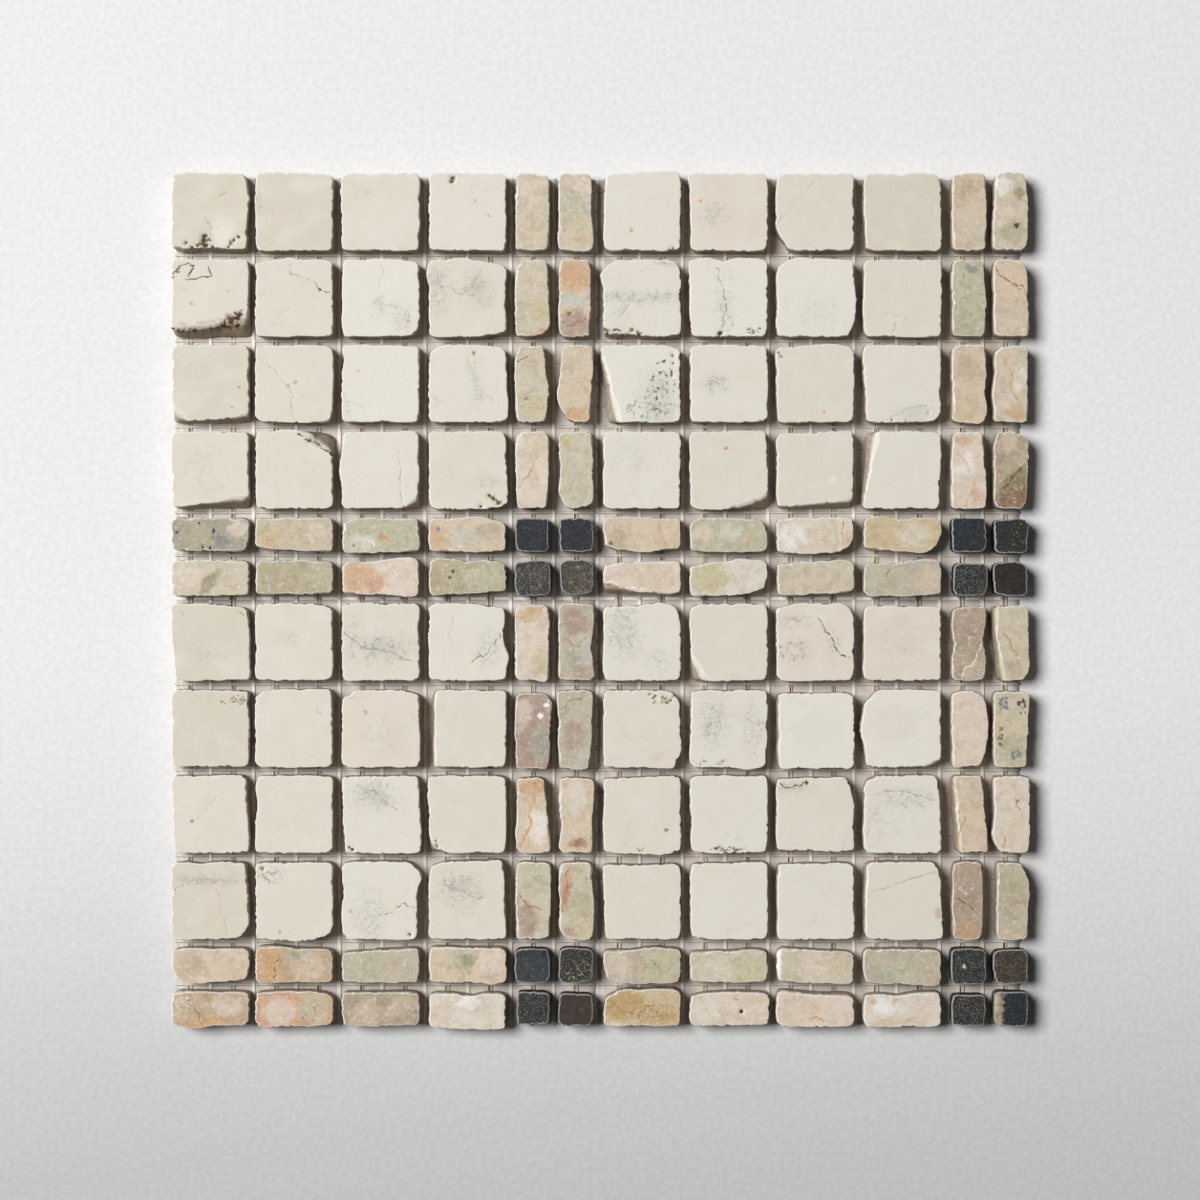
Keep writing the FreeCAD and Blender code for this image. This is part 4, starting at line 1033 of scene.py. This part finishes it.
def row_12():
    """Peach and pink strips, a gold one with dark cracks, a black square with a tan side."""
    stone(12, 1, "fawn",
          patch("pink", -132, -143, 6, 4, 0, 0.6),
          patch("orange", -141, -149.6, 9, 1.8, 5, 0.8),
          patch("peach", -148, -144, 3, 4, 0, 0.6),
          line("dark brown", 0.4, 0.7, (-146, -141), (-143, -145), (-141, -150)),
          specks("white", 0.25, 0.6, 14, -147, -143, 3, 3))
    stone(12, 2, "coral",
          patch("pink", -113, -145, 6, 5, 0, 0.8),
          patch("sage", -101, -144, 5, 6, 0, 0.8),
          patch("honey", -99, -143, 3, 4, 0, 0.6),
          patch("orange", -106, -149.5, 3, 1.2, 0, 0.7),
          specks("blue grey", 0.26, 0.7, 14, -103, -144, 5, 5))
    stone(12, 3, "taupe",
          patch("peach", -83, -146, 6, 4, 35, 0.5),
          patch("peach", -70, -143, 6, 3, 35, 0.4),
          line("pink", 1.0, 0.5, (-89, -150), (-84, -145), (-80, -141)),
          line("pink", 0.8, 0.5, (-80, -150), (-75, -145.5), (-71, -141)),
          line("pink", 0.9, 0.4, (-71, -149.5), (-67, -146), (-64, -142)),
          specks("white", 0.22, 0.5, 20, -77, -145, 12, 5))
    stone(12, 4, "rosy cream",
          patch("white", -46, -142, 4, 2.4, 0, 0.8),
          patch("sage", -41, -145, 3.5, 1.6, -30, 0.4),
          patch("peach", -56, -146, 5, 4, 0, 0.5),
          line("taupe", 0.4, 0.6, (-46, -140.5), (-44, -142), (-41.5, -140.4)))
    stone(12, 5, "charcoal",
          specks("copper", 0.29, 0.36, 12, -28, -148.5, 2, 1.5))
    stone(12, 6, "coppery charcoal",
          specks("copper", 0.26, 0.36, 18, -7, -143, 4, 3), flecks="copper")
    stone(12, 7, "honey",
          patch("gold", 9, -143, 8, 5, 0, 0.8),
          patch("gold", 22, -146, 6, 4, 0, 0.6),
          patch("white", 6, -150.4, 4, 1.2, 0, 0.4),
          line("brown", 0.4, 0.8, (3, -140), (8, -145), (14, -146), (19, -142.5)),
          line("brown", 0.35, 0.7, (13, -150), (17, -147), (24, -147)),
          specks("brown", 0.26, 0.6, 30, 14, -145, 12, 4.5))
    stone(12, 8, "pink",
          pit(0.55, (50, -145.3), tone="blue black"),
          spot("orange", 0.6, 0.9, (48, -140.8)),
          patch("ivory", 38, -145, 5, 4, 0, 0.6))
    stone(12, 9, "pink",
          patch("peach", 70, -144, 6, 4, 0, 0.5),
          line("orange", 0.8, 0.9, (74, -148), (77, -147.6), (80, -148.4)))
    stone(12, 10, "rosy cream",
          patch("white", 101, -143, 5, 3.5, 0, 0.8),
          patch("orange", 96.5, -141.5, 1.6, 1.6, 0, 0.7),
          patch("orange", 104, -142, 1.8, 1.2, 0, 0.6),
          patch("honey", 101, -149.5, 5, 1.6, 0, 0.7),
          patch("pink", 115, -145, 7, 5, 0, 0.8),
          line("gold", 0.5, 0.6, (107, -149), (112, -147), (115, -143)))
    stone(12, 11, "charcoal")
    stone(12, 12, "blue black",
          patch("taupe", 139.5, -145, 3, 9, 0, 1.0, 0.12),
          patch("honey", 139, -142, 1.2, 5, 0, 0.9), flecks="blue grey")

for describe in (row_1, row_2, row_3, row_4, row_5, row_6, row_7, row_8, row_9, row_10, row_11, row_12):
    describe()


def painted(points, centre, look, seed):
    """The ground colour, the mark colour with its cover, the share of threads and the drop in mm."""
    ground, marks, _ = look
    places = points[:, :2] + centre
    wobble = numpy.column_stack([rough(points, 2.2, seed), rough(points, 2.2, seed + 40)])
    ragged = rough(points, 0.8, seed + 80)
    base = numpy.tile(linear(ground), (len(points), 1))
    colour = numpy.tile(linear(ground), (len(points), 1))
    total = numpy.zeros(len(points))
    drop = numpy.zeros(len(points))
    web = numpy.zeros(len(points))
    for kind, tone, cover, _, depth in marks:
        share = cover(places, wobble, ragged)
        if kind == "threads":
            web = numpy.maximum(web, share)
            continue
        if kind == "ground":
            base += (linear(tone) - base) * share[:, None]
            continue
        drop = numpy.maximum(drop, depth * share)
        over = (share > 0) * (share / (share + 0.4 * total + 1e-9))
        colour += (linear(tone) - colour) * over[:, None]
        total = numpy.maximum(total, share)
    return base, numpy.column_stack([colour, total]), web, drop


def stone_mesh(key, cloud, slot):
    """One stone's points, faces and painted values."""
    rng = random.Random(1000 * key[0] + key[1])
    centre = (cloud[:, :2].min(axis=0) + cloud[:, :2].max(axis=0)) / 2
    look = looks[key]
    rings, top, bevel = stone_rings(cloud, centre, rng, slot)
    count = len(rings[0])
    extra = [places - centre for _, _, _, places, _ in look[1] if len(places)]
    inner = cap_points(rings[-1][:, :2], cap_step[slot], rng, numpy.vstack(extra) if extra else [])
    cap = numpy.array([(x, y, top) for x, y in inner]).reshape(-1, 3)
    points = numpy.vstack(rings + [cap, [(0, 0, foot_level)]])
    faces = []
    for ring in range(len(rings) - 1):
        for i in range(count):
            after = (i + 1) % count
            faces.append([ring * count + i, ring * count + after, (ring + 1) * count + after, (ring + 1) * count + i])
    last = (len(rings) - 1) * count
    faces += [[last + i for i in face] for face in cap_faces(rings[-1][:, :2], inner)]
    faces += [[len(points) - 1, (i + 1) % count, i] for i in range(count)]

    seed = rng.uniform(0, 100)
    ground, marks, web, drop = painted(points, centre, look, seed)
    walls = 2 + len(wall_shares)
    rim = numpy.zeros(len(points))
    rim[walls * count:last - count] = numpy.tile(1 - 0.6 * bevel, len(rim_turns))
    rim[last - count:last] = 0.7
    upper = numpy.arange(len(points)) >= walls * count
    upper[-1] = False
    points[:, 2] -= upper * (face_swell * (1 - rough(points, 7.0, seed)) + drop)
    points[:, :2] += centre
    shift = numpy.tile([rng.uniform(-1, 1) for _ in range(3)], (len(points), 1))
    flecks = numpy.tile(linear(look[2]), (len(points), 1))
    return points, faces, {"ground": ground, "marks": marks, "flecks": flecks, "threads": web, "rim": rim,
                           "side": 1.0 - upper, "shift": shift}


def stones_piece(name, slot, material):
    """The stones of a node as one piece."""
    parts = [stone_mesh(key, cloud, slot) for key, cloud in stone_clouds(name).items()]
    points = numpy.vstack([part[0] for part in parts])
    faces = []
    start = 0
    for part in parts:
        faces += [[start + i for i in face] for face in part[1]]
        start += len(part[0])
    mesh = shown_mesh(name + "_stones", points, faces, material)
    for title in parts[0][2]:
        add_values(mesh, title, numpy.concatenate([part[2][title] for part in parts]))
    show(mesh, name)


def shown_mesh(title, points, faces, material):
    """A smooth mesh of a material from points in mm."""
    mesh = bpy.data.meshes.new(title)
    mesh.from_pydata((numpy.array(points) * mm).tolist(), [], faces)
    mesh.polygons.foreach_set("use_smooth", [True] * len(mesh.polygons))
    mesh.materials.append(material)
    return mesh


def show(mesh, name):
    """Puts a mesh in the scene in place of a node."""
    piece = bpy.data.objects.new(mesh.name, mesh)
    bpy.context.scene.collection.objects.link(piece)
    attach(piece, "root")
    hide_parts(name)


def add_values(mesh, title, values):
    """Keeps a number, a vector or a colour with each point of a mesh."""
    if title == "shift":
        kind, field = "FLOAT_VECTOR", "vector"
    elif values.ndim == 1:
        kind, field = "FLOAT", "value"
    else:
        kind, field = "FLOAT_COLOR", "color"
        values = numpy.column_stack([values, numpy.ones(len(values))])[:, :4]
    layer = mesh.attributes.new(title, kind, "POINT")
    layer.data.foreach_set(field, values.astype(numpy.float32).ravel())


class Shader:
    """A material's node tree, built one node at a time."""

    def __init__(self, name):
        self.material = bpy.data.materials.new(name)
        self.material.use_nodes = True
        self.tree = self.material.node_tree
        self.tree.nodes.clear()

    def add(self, kind, inputs=(), **settings):
        """A node of a kind, with its settings, and its inputs as values or other nodes' sockets."""
        made = self.tree.nodes.new("ShaderNode" + kind)
        for key, value in settings.items():
            setattr(made, key, value)
        for key, value in dict(inputs).items():
            if isinstance(value, bpy.types.NodeSocket):
                self.tree.links.new(value, made.inputs[key])
            else:
                made.inputs[key].default_value = value
        return made

    def noise(self, place, scale, detail=3.0, roughness=0.55):
        """A noise value with features of a given size in mm."""
        inputs = {"Vector": place, "Scale": 1 / (scale * mm), "Detail": detail, "Roughness": roughness}
        return self.add("TexNoise", inputs).outputs["Fac"]

    def cells(self, place, scale, output="Distance", feature="F1"):
        """A pattern of cells of a given size in mm."""
        inputs = {"Vector": place, "Scale": 1 / (scale * mm)}
        return self.add("TexVoronoi", inputs, feature=feature).outputs[output]

    def bent(self, place, scale, reach):
        """A place that noise of a given size moves by up to a reach, both in mm."""
        field = self.add("TexNoise", {"Vector": place, "Scale": 1 / (scale * mm), "Detail": 3.0})
        move = self.add("VectorMath", {0: field.outputs["Color"], "Scale": reach * mm}, operation="SCALE")
        return self.add("VectorMath", {0: place, 1: move.outputs[0]}, operation="ADD").outputs[0]

    def ramp(self, value, low, high, out_low=0.0, out_high=1.0):
        """A value carried smoothly from one range to another."""
        inputs = {"Value": value, "From Min": low, "From Max": high, "To Min": out_low, "To Max": out_high}
        return self.add("MapRange", inputs, interpolation_type="SMOOTHSTEP").outputs["Result"]

    def math(self, operation, first, second):
        """The result of a sum on two values."""
        return self.add("Math", {0: first, 1: second}, operation=operation).outputs[0]

    def mix(self, share, first, second, blend="MIX"):
        """One colour laid over another."""
        made = self.add("Mix", {"Factor": share, 6: first, 7: second}, data_type="RGBA", blend_type=blend)
        return made.outputs[2]

    def painted(self, title, output="Color"):
        """A value that is kept with the mesh."""
        return self.add("Attribute", attribute_name=title).outputs[output]

    def place(self):
        """The place in a stone, set apart from its neighbours' so that no vein runs on."""
        own = self.add("TexCoord").outputs["Object"]
        return self.add("VectorMath", {0: own, 1: self.painted("shift", "Vector")}, operation="ADD").outputs[0]

    def finish(self, colour, roughness, bumps, specular=0.35):
        """The surface, with a chain of bumps given as height, depth in mm and strength."""
        normal = None
        for height, depth, strength in bumps:
            inputs = {"Height": height, "Distance": depth * mm, "Strength": strength}
            if normal:
                inputs["Normal"] = normal
            normal = self.add("Bump", inputs).outputs[0]
        surface = self.add("BsdfPrincipled", {"Base Color": colour, "Roughness": roughness, "Normal": normal,
                                              "Specular IOR Level": specular})
        self.add("OutputMaterial", {"Surface": surface.outputs[0]})
        return self.material


def grey(level, warmth=0.0):
    """A near grey colour of a level, a little warm or cool."""
    return (level * (1 + warmth), level, level * (1 - warmth), 1.0)


def tone_of(name):
    """A named tone as a node's colour."""
    return linear(name) + [1.0]


def worn_colour(shader, place, colour, side, dust, dust_share):
    """The marks, the worn rim and the sides that every stone shows, laid over its own colour; the sides are darkened,
    partly as rough broken stone and partly as painted shade for the deep gaps between stones.
    """
    cover = shader.painted("marks", "Alpha")
    grain = shader.noise(place, 0.5, 4.0, 0.7)
    broken = shader.math("ADD", cover, shader.math("MULTIPLY", shader.math("SUBTRACT", grain, 0.5), 0.9))
    shown = shader.math("MULTIPLY", shader.ramp(broken, 0.1, 0.75), shader.ramp(cover, 0.02, 0.2))
    rim = shader.math("ADD", shader.painted("rim", "Fac"), shader.math("MULTIPLY", shader.math("SUBTRACT", grain, 0.5), 1.1))
    dusty = shader.math("MULTIPLY", shader.ramp(rim, 0.25, 0.85), dust_share)
    colour = shader.mix(dusty, colour, dust)
    colour = shader.mix(shown, colour, shader.painted("marks"))
    # Sides: mixed towards the side tone by mottled amounts, then darkened further in grain spots; partly rough broken
    # stone, partly painted shade in the gaps between stones.
    mottled = shader.noise(place, 1.8, 4.0, 0.65)
    dull = shader.ramp(mottled, 0.35, 0.65, 0.55, 1.0)
    colour = shader.mix(shader.math("MULTIPLY", shader.painted("side", "Fac"), dull), colour, side)
    dark = shader.math("MULTIPLY", shader.painted("side", "Fac"), shader.ramp(grain, 0.45, 0.7, 0.0, 0.5))
    return shader.mix(dark, colour, grey(0.6, 0.06), "MULTIPLY")


def threaded(shader, place, colour):
    """Grey-green clouds, threads and grains where the mesh has its share of threads."""
    web = shader.painted("threads", "Fac")
    lace = shader.bent(place, 2.0, 2.4)
    cloudy = shader.ramp(shader.noise(lace, 1.8, 4.0, 0.6), 0.47, 0.62, 0.0, 0.4)
    colour = shader.mix(shader.math("MULTIPLY", cloudy, web), colour, tone_of("grey green"))
    for size, width, tone in ((3.2, 0.03, "grey green"), (1.5, 0.045, "grey green"), (2.2, 0.02, "olive")):
        off = shader.math("ABSOLUTE", shader.math("SUBTRACT", shader.noise(lace, size, 1.5, 0.5), 0.5), 0.0)
        thin = shader.ramp(off, 0.0, width, 0.9, 0.0)
        some = shader.ramp(shader.noise(place, 1.3 * size, 3.0), 0.45, 0.6)
        colour = shader.mix(shader.math("MULTIPLY", shader.math("MULTIPLY", thin, some), web), colour, tone_of(tone))
    return colour


def cream_marble():
    """Honed cream marble: faint clouds, grey-green threads, fine grain, chalky worn rim."""
    shader = Shader("cream_marble_honed")
    place = shader.place()
    clouds = shader.noise(place, 9.0, 4.0)
    colour = shader.mix(shader.ramp(clouds, 0.4, 0.75, 0.0, 0.5), shader.painted("ground"), tone_of("pale ivory"))
    dull = shader.noise(place, 4.0, 5.0, 0.6)
    colour = shader.mix(shader.ramp(dull, 0.5, 0.8, 0.0, 0.45), colour, grey(0.92, 0.02), "MULTIPLY")
    crooked = shader.bent(place, 4.0, 7.0)
    thin = shader.ramp(shader.cells(crooked, 14.0, feature="DISTANCE_TO_EDGE"), 0.0, 0.03, 1.0, 0.0)
    where = shader.ramp(shader.noise(place, 12.0, 2.0), 0.52, 0.7, 0.0, 0.22)
    colour = shader.mix(shader.math("MULTIPLY", thin, where), colour, tone_of("grey green"))
    colour = threaded(shader, place, colour)
    dots = shader.ramp(shader.cells(crooked, 2.6), 0.06, 0.16, 1.0, 0.0)
    dotted = shader.math("MULTIPLY", dots, shader.ramp(shader.noise(place, 6.0, 2.0), 0.52, 0.7, 0.0, 0.4))
    colour = shader.mix(dotted, colour, tone_of("pale grey"))
    grain = shader.noise(place, 0.6, 3.0, 0.7)
    colour = shader.mix(shader.ramp(grain, 0.3, 0.7, 0.0, 0.35), colour, grey(0.9, 0.02), "MULTIPLY")
    # The taupe sides are partly rough stone and partly painted shade for the gaps between stones.
    colour = worn_colour(shader, place, colour, tone_of("taupe"), tone_of("white"), 0.7)
    bumps = [(shader.noise(place, 0.45, 4.0, 0.65), 0.12, 0.3), (shader.noise(place, 3.0, 3.0), 0.15, 0.3)]
    return shader.finish(colour, shader.ramp(grain, 0.2, 0.8, 0.5, 0.68), bumps)


def veined_marble():
    """Mixed coloured marble: sugary crystals, pale and dark clouds, thin seams, worn rim."""
    shader = Shader("veined_marble_honed")
    place = shader.place()
    crooked = shader.bent(place, 2.2, 2.6)
    clouds = shader.noise(crooked, 3.4, 4.0, 0.6)
    colour = shader.mix(shader.ramp(clouds, 0.42, 0.68, 0.0, 0.9), shader.painted("ground"), grey(0.8, 0.05), "MULTIPLY")
    warm = shader.noise(crooked, 5.0, 4.0, 0.6)
    colour = shader.mix(shader.ramp(warm, 0.48, 0.62, 0.0, 0.2), colour, tone_of("honey"))
    pale = shader.noise(place, 1.3, 3.0, 0.6)
    colour = shader.mix(shader.ramp(pale, 0.5, 0.75, 0.0, 0.35), colour, shader.painted("flecks"))
    shade = shader.add("SeparateColor", {"Color": shader.cells(place, 0.4, "Color")}).outputs[0]
    colour = shader.mix(shader.ramp(shade, 0.2, 1.0, 0.0, 0.45), colour, grey(0.8, 0.04), "MULTIPLY")
    sparks = shader.ramp(shader.cells(crooked, 0.6), 0.15, 0.4, 1.0, 0.0)
    lit = shader.math("MULTIPLY", sparks, shader.ramp(shader.noise(place, 1.6, 2.0), 0.52, 0.64, 0.0, 0.3))
    colour = shader.mix(lit, colour, shader.painted("flecks"))
    seam = shader.math("ABSOLUTE", shader.math("SUBTRACT", shader.noise(crooked, 5.0, 3.0, 0.6), 0.5), 0.0)
    some = shader.ramp(shader.noise(place, 5.0, 2.0), 0.45, 0.6)
    colour = shader.mix(shader.math("MULTIPLY", shader.ramp(seam, 0.0, 0.012, 0.5, 0.0), some), colour, tone_of("taupe"))
    # The taupe sides are partly rough stone and partly painted shade for the gaps between stones.
    colour = worn_colour(shader, place, colour, tone_of("taupe"), tone_of("white"), 0.75)
    bumps = [(shade, 0.05, 0.3), (shader.noise(place, 0.8, 4.0, 0.65), 0.2, 0.4)]
    return shader.finish(colour, shader.ramp(shade, 0.0, 1.0, 0.4, 0.62), bumps)


def black_marble():
    """Blackish marble with crystal flecks and fine scratches, and a thin frosted rim."""
    shader = Shader("black_marble_flecked")
    place = shader.place()
    crooked = shader.bent(place, 0.8, 0.9)
    flecks = shader.noise(crooked, 0.55, 5.0, 0.75)
    colour = shader.mix(shader.ramp(flecks, 0.48, 0.72, 0.0, 0.5), shader.painted("ground"), shader.painted("flecks"))
    grain = shader.noise(place, 2.0, 3.0)
    colour = shader.mix(shader.ramp(grain, 0.4, 0.65, 0.0, 0.7), colour, grey(0.5), "MULTIPLY")
    sparks = shader.ramp(shader.cells(crooked, 0.7), 0.08, 0.3, 1.0, 0.0)
    lit = shader.math("MULTIPLY", sparks, shader.ramp(shader.noise(place, 0.9, 2.0), 0.5, 0.6, 0.0, 0.6))
    colour = shader.mix(lit, colour, shader.painted("flecks"))
    colour = worn_colour(shader, place, colour, tone_of("charcoal"), grey(0.42, 0.01), 0.9)
    bumps = [(flecks, 0.12, 0.4), (shader.noise(place, 0.9, 4.0, 0.7), 0.25, 0.5)]
    return shader.finish(colour, shader.ramp(flecks, 0.3, 0.7, 0.45, 0.7), bumps, 0.3)


# Backing mesh: the strands lie where the solid's do, each one a few yarns
mesh_pitch = 7.625
strand_shift_x = -1.2
strand_shift_y = 0.6
mesh_middle = 0.3
yarn_step = 2.54
narrow_yarns = (-0.22, 0.22)
narrow_yarn = (0.5, 0.13)
wide_yarns = (-0.5, 0.0, 0.5)
wide_yarn = (0.74, 0.11)
cross_yarns = (-0.16, 0.16)
cross_yarn = (0.36, 0.12)
yarn_lift = 0.08
strand_end = 1.2
skin_levels = (0.05, 0.2)
skin_step = 2.5
skin_trim = 0.5


def tube(path, half, sides, across):
    """A flattened tube along a path, as points and faces."""
    points = []
    for x, y, z in path:
        for i in range(sides):
            angle = 2 * math.pi * i / sides
            out = half[0] * math.cos(angle)
            points.append((x + out * across[0], y + out * across[1], z + half[1] * math.sin(angle)))
    faces = []
    for ring in range(len(path) - 1):
        for i in range(sides):
            low, after = ring * sides, (i + 1) % sides
            faces.append([low + i, low + after, low + sides + after, low + sides + i])
    faces.append(list(range(sides))[::-1])
    faces.append([(len(path) - 1) * sides + i for i in range(sides)])
    return points, faces


def stations(low, high):
    """Places along a strand, a short step apart."""
    count = max(2, round((high - low) / yarn_step))
    return [low + (high - low) * i / count for i in range(count + 1)]


def narrow_strand(x, low, high):
    """An upright strand: two bright yarns side by side, wound over and under the cross strands."""
    yarns = []
    for side in narrow_yarns:
        path = []
        for y in stations(low, high):
            turn = math.pi * (y - strand_shift_y) / mesh_pitch
            swing = 0.12 * noise.noise(Vector((x + 3 * side, y / 5, 2)))
            path.append((x + side + swing, y, mesh_middle + yarn_lift * math.cos(turn + 7 * side)))
        yarns.append(tube(path, narrow_yarn, 6, (1, 0)) + ("bright yarn",))
    return yarns


def wide_strand(x, low, high):
    """An upright strand of flat yarns side by side."""
    yarns = []
    for side in wide_yarns:
        path = [(x + side + 0.25 * noise.noise(Vector((x + 3 * side, y / 7, 4))), y, mesh_middle)
                for y in stations(low, high)]
        yarns.append(tube(path, wide_yarn, 6, (1, 0)) + ("tan yarn",))
    return yarns


def cross_strand(y, low, high):
    """A cross strand of two flat yarns."""
    yarns = []
    for side in cross_yarns:
        path = [(x, y + side + 0.1 * noise.noise(Vector((x / 8, y + 4 * side, 6))),
                 mesh_middle - yarn_lift * math.cos(math.pi * (x - strand_shift_x) / mesh_pitch))
                for x in stations(low, high)]
        yarns.append(tube(path, cross_yarn, 4, (0, 1)) + ("dull yarn",))
    return yarns


def shaded_glue_skin(low, high):
    """The thin uneven skin of glue that fills the cells of the mesh; its greyish tone is partly the glue and partly
    painted shade on the floor of the gaps between stones.
    """
    across = numpy.linspace(low[0] + skin_trim, high[0] - skin_trim, round((high[0] - low[0]) / skin_step))
    along = numpy.linspace(low[1] + skin_trim, high[1] - skin_trim, round((high[1] - low[1]) / skin_step))
    points = []
    for level in skin_levels:
        for y in along:
            for x in across:
                swell = 0.04 * noise.noise(Vector((x / 2, y / 2, level)))
                points.append((x, y, level + max(swell, -0.02)))
    wide, count = len(across), len(across) * len(along)
    faces = []
    for j in range(len(along) - 1):
        for i in range(wide - 1):
            corner = j * wide + i
            faces.append([corner, corner + wide, corner + wide + 1, corner + 1])
            faces.append([count + corner, count + corner + 1, count + corner + wide + 1, count + corner + wide])
    rows = [[j * wide for j in range(len(along))], [j * wide + wide - 1 for j in range(len(along))]]
    columns = [list(range(wide)), [count - wide + i for i in range(wide)]]
    for edge, turned in ((rows[0], False), (rows[1], True), (columns[0], True), (columns[1], False)):
        for first, second in zip(edge, edge[1:]):
            side = [first, first + count, second + count, second]
            faces.append(side[::-1] if turned else side)
    return points, faces, "shaded glue skin"


def strand_numbers(shift, low, high):
    """The numbers of the strands whose middles lie between two edges."""
    first = math.ceil((low + strand_end - shift) / mesh_pitch)
    return range(first, math.floor((high - strand_end - shift) / mesh_pitch) + 1)


def backing_piece(name, material):
    """A quarter of the backing mesh: its skin of glue, greyed partly with painted shade, and its woven yarns."""
    low, high = (numpy.array(corner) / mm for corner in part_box(name))
    yarns = [shaded_glue_skin(low, high)]
    for number in strand_numbers(strand_shift_x, low[0], high[0]):
        strand = wide_strand if number % 2 else narrow_strand
        yarns += strand(number * mesh_pitch + strand_shift_x, low[1], high[1])
    for number in strand_numbers(strand_shift_y, low[1], high[1]):
        yarns += cross_strand(number * mesh_pitch + strand_shift_y, low[0], high[0])
    points, faces, tints = [], [], []
    for yarn_points, yarn_faces, tint in yarns:
        faces += [[len(points) + i for i in face] for face in yarn_faces]
        points += yarn_points
        tints += [linear(tint)] * len(yarn_points)
    mesh = shown_mesh(name + "_yarns", points, faces, material)
    add_values(mesh, "ground", numpy.array(tints))
    show(mesh, name)


def glass_fibre():
    """Resin-coated glass yarn: milky, with fine filaments, each strand with its own tint."""
    shader = Shader("glass_fibre_yarn")
    place = shader.add("TexCoord").outputs["Object"]
    filaments = shader.noise(place, 0.25, 3.0, 0.6)
    colour = shader.mix(shader.ramp(filaments, 0.35, 0.65, 0.0, 0.3), shader.painted("ground"), grey(0.85, 0.02))
    patchy = shader.noise(place, 6.0, 2.0)
    colour = shader.mix(shader.ramp(patchy, 0.45, 0.7, 0.0, 0.5), colour, grey(0.8, 0.06), "MULTIPLY")
    return shader.finish(colour, shader.ramp(filaments, 0.3, 0.7, 0.3, 0.5), [(filaments, 0.1, 0.4)], 0.5)


# Surroundings
photo_width = 423.3
lens = 100.0
sensor = 36.0
face_height = 10.0
floor_half = 3.0


def add_floor():
    """A plain pale floor just under the sheet, with painted shade that darkens it softly towards the bottom of the
    view.
    """
    far = floor_half
    mesh = bpy.data.meshes.new("floor")
    mesh.from_pydata([(x, y, -0.00002) for x, y in ((-far, -far), (far, -far), (far, far), (-far, far))], [],
                     [(0, 1, 2, 3)])
    floor = bpy.data.objects.new("floor", mesh)
    bpy.context.scene.collection.objects.link(floor)
    shader = Shader("floor_plaster")
    place = shader.add("TexCoord").outputs["Object"]
    relief = shader.noise(place, 2.0, 4.0, 0.6)
    up_the_sheet = shader.add("SeparateXYZ", {0: place}).outputs["Y"]
    # Painted shade: the floor grows darker towards the bottom of the view, from the sheet's middle to 26 cm below it.
    pale = shader.mix(shader.ramp(up_the_sheet, -0.26, 0.0), grey(0.54), grey(0.83))
    colour = shader.mix(shader.ramp(relief, 0.3, 0.7, 0.08, 0.0), pale, grey(0.0))
    mesh.materials.append(shader.finish(colour, 0.9, [(relief, 0.5, 0.35)], 0.1))


def add_light(name, azimuth, elevation, distance, size, power):
    """A soft lamp that faces the sheet, its azimuth counted anticlockwise from +X."""
    lamp = bpy.data.lights.new(name, "AREA")
    lamp.shape = "DISK"
    lamp.size = size
    lamp.energy = power
    holder = bpy.data.objects.new(name, lamp)
    bpy.context.scene.collection.objects.link(holder)
    around, up = math.radians(azimuth), math.radians(elevation)
    away = Vector((math.cos(around) * math.cos(up), math.sin(around) * math.cos(up), math.sin(up)))
    holder.location = away * distance
    holder.rotation_euler = away.to_track_quat("Z", "Y").to_euler()


def add_world(strength, backdrop):
    """Even pale light all round, and a pale backdrop where the camera sees past the floor."""
    world = bpy.data.worlds.new("studio")
    bpy.context.scene.world = world
    world.use_nodes = True
    tree = world.node_tree
    tree.nodes.clear()
    path = tree.nodes.new("ShaderNodeLightPath")
    glow = tree.nodes.new("ShaderNodeBackground")
    glow.inputs["Strength"].default_value = strength
    seen = tree.nodes.new("ShaderNodeBackground")
    seen.inputs["Color"].default_value = backdrop
    chosen = tree.nodes.new("ShaderNodeMixShader")
    tree.links.new(path.outputs["Is Camera Ray"], chosen.inputs[0])
    tree.links.new(glow.outputs[0], chosen.inputs[1])
    tree.links.new(seen.outputs[0], chosen.inputs[2])
    output = tree.nodes.new("ShaderNodeOutputWorld")
    tree.links.new(chosen.outputs[0], output.inputs["Surface"])


def add_camera():
    """The camera straight above the sheet, as in the photograph."""
    camera = bpy.data.cameras.new("camera")
    camera.lens = lens
    camera.sensor_width = sensor
    holder = bpy.data.objects.new("camera", camera)
    bpy.context.scene.collection.objects.link(holder)
    holder.location = (0.0, 0.0, (face_height + photo_width * lens / sensor) * mm)
    bpy.context.scene.camera = holder


def add_sheet():
    """The stones and the backing mesh, each piece in place of its node."""
    kinds = {
        "cream": ("cream_marble", cream_marble()),
        "upright": ("veined_marble", veined_marble()),
        "black": ("black_marble", black_marble()),
    }
    kinds["lying"] = kinds["upright"]
    fibre = glass_fibre()
    for name in sorted(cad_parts):
        if name.startswith("backing_mesh"):
            backing_piece(name, fibre)
        else:
            stones_piece(name, *kinds[name.split("_")[0]])


add_floor()
add_camera()
add_light("key", 158, 57, 4.4, 2.1, 232.0)
add_world(0.06, grey(0.8))
add_sheet()
bpy.context.scene.view_settings.view_transform = "Standard"
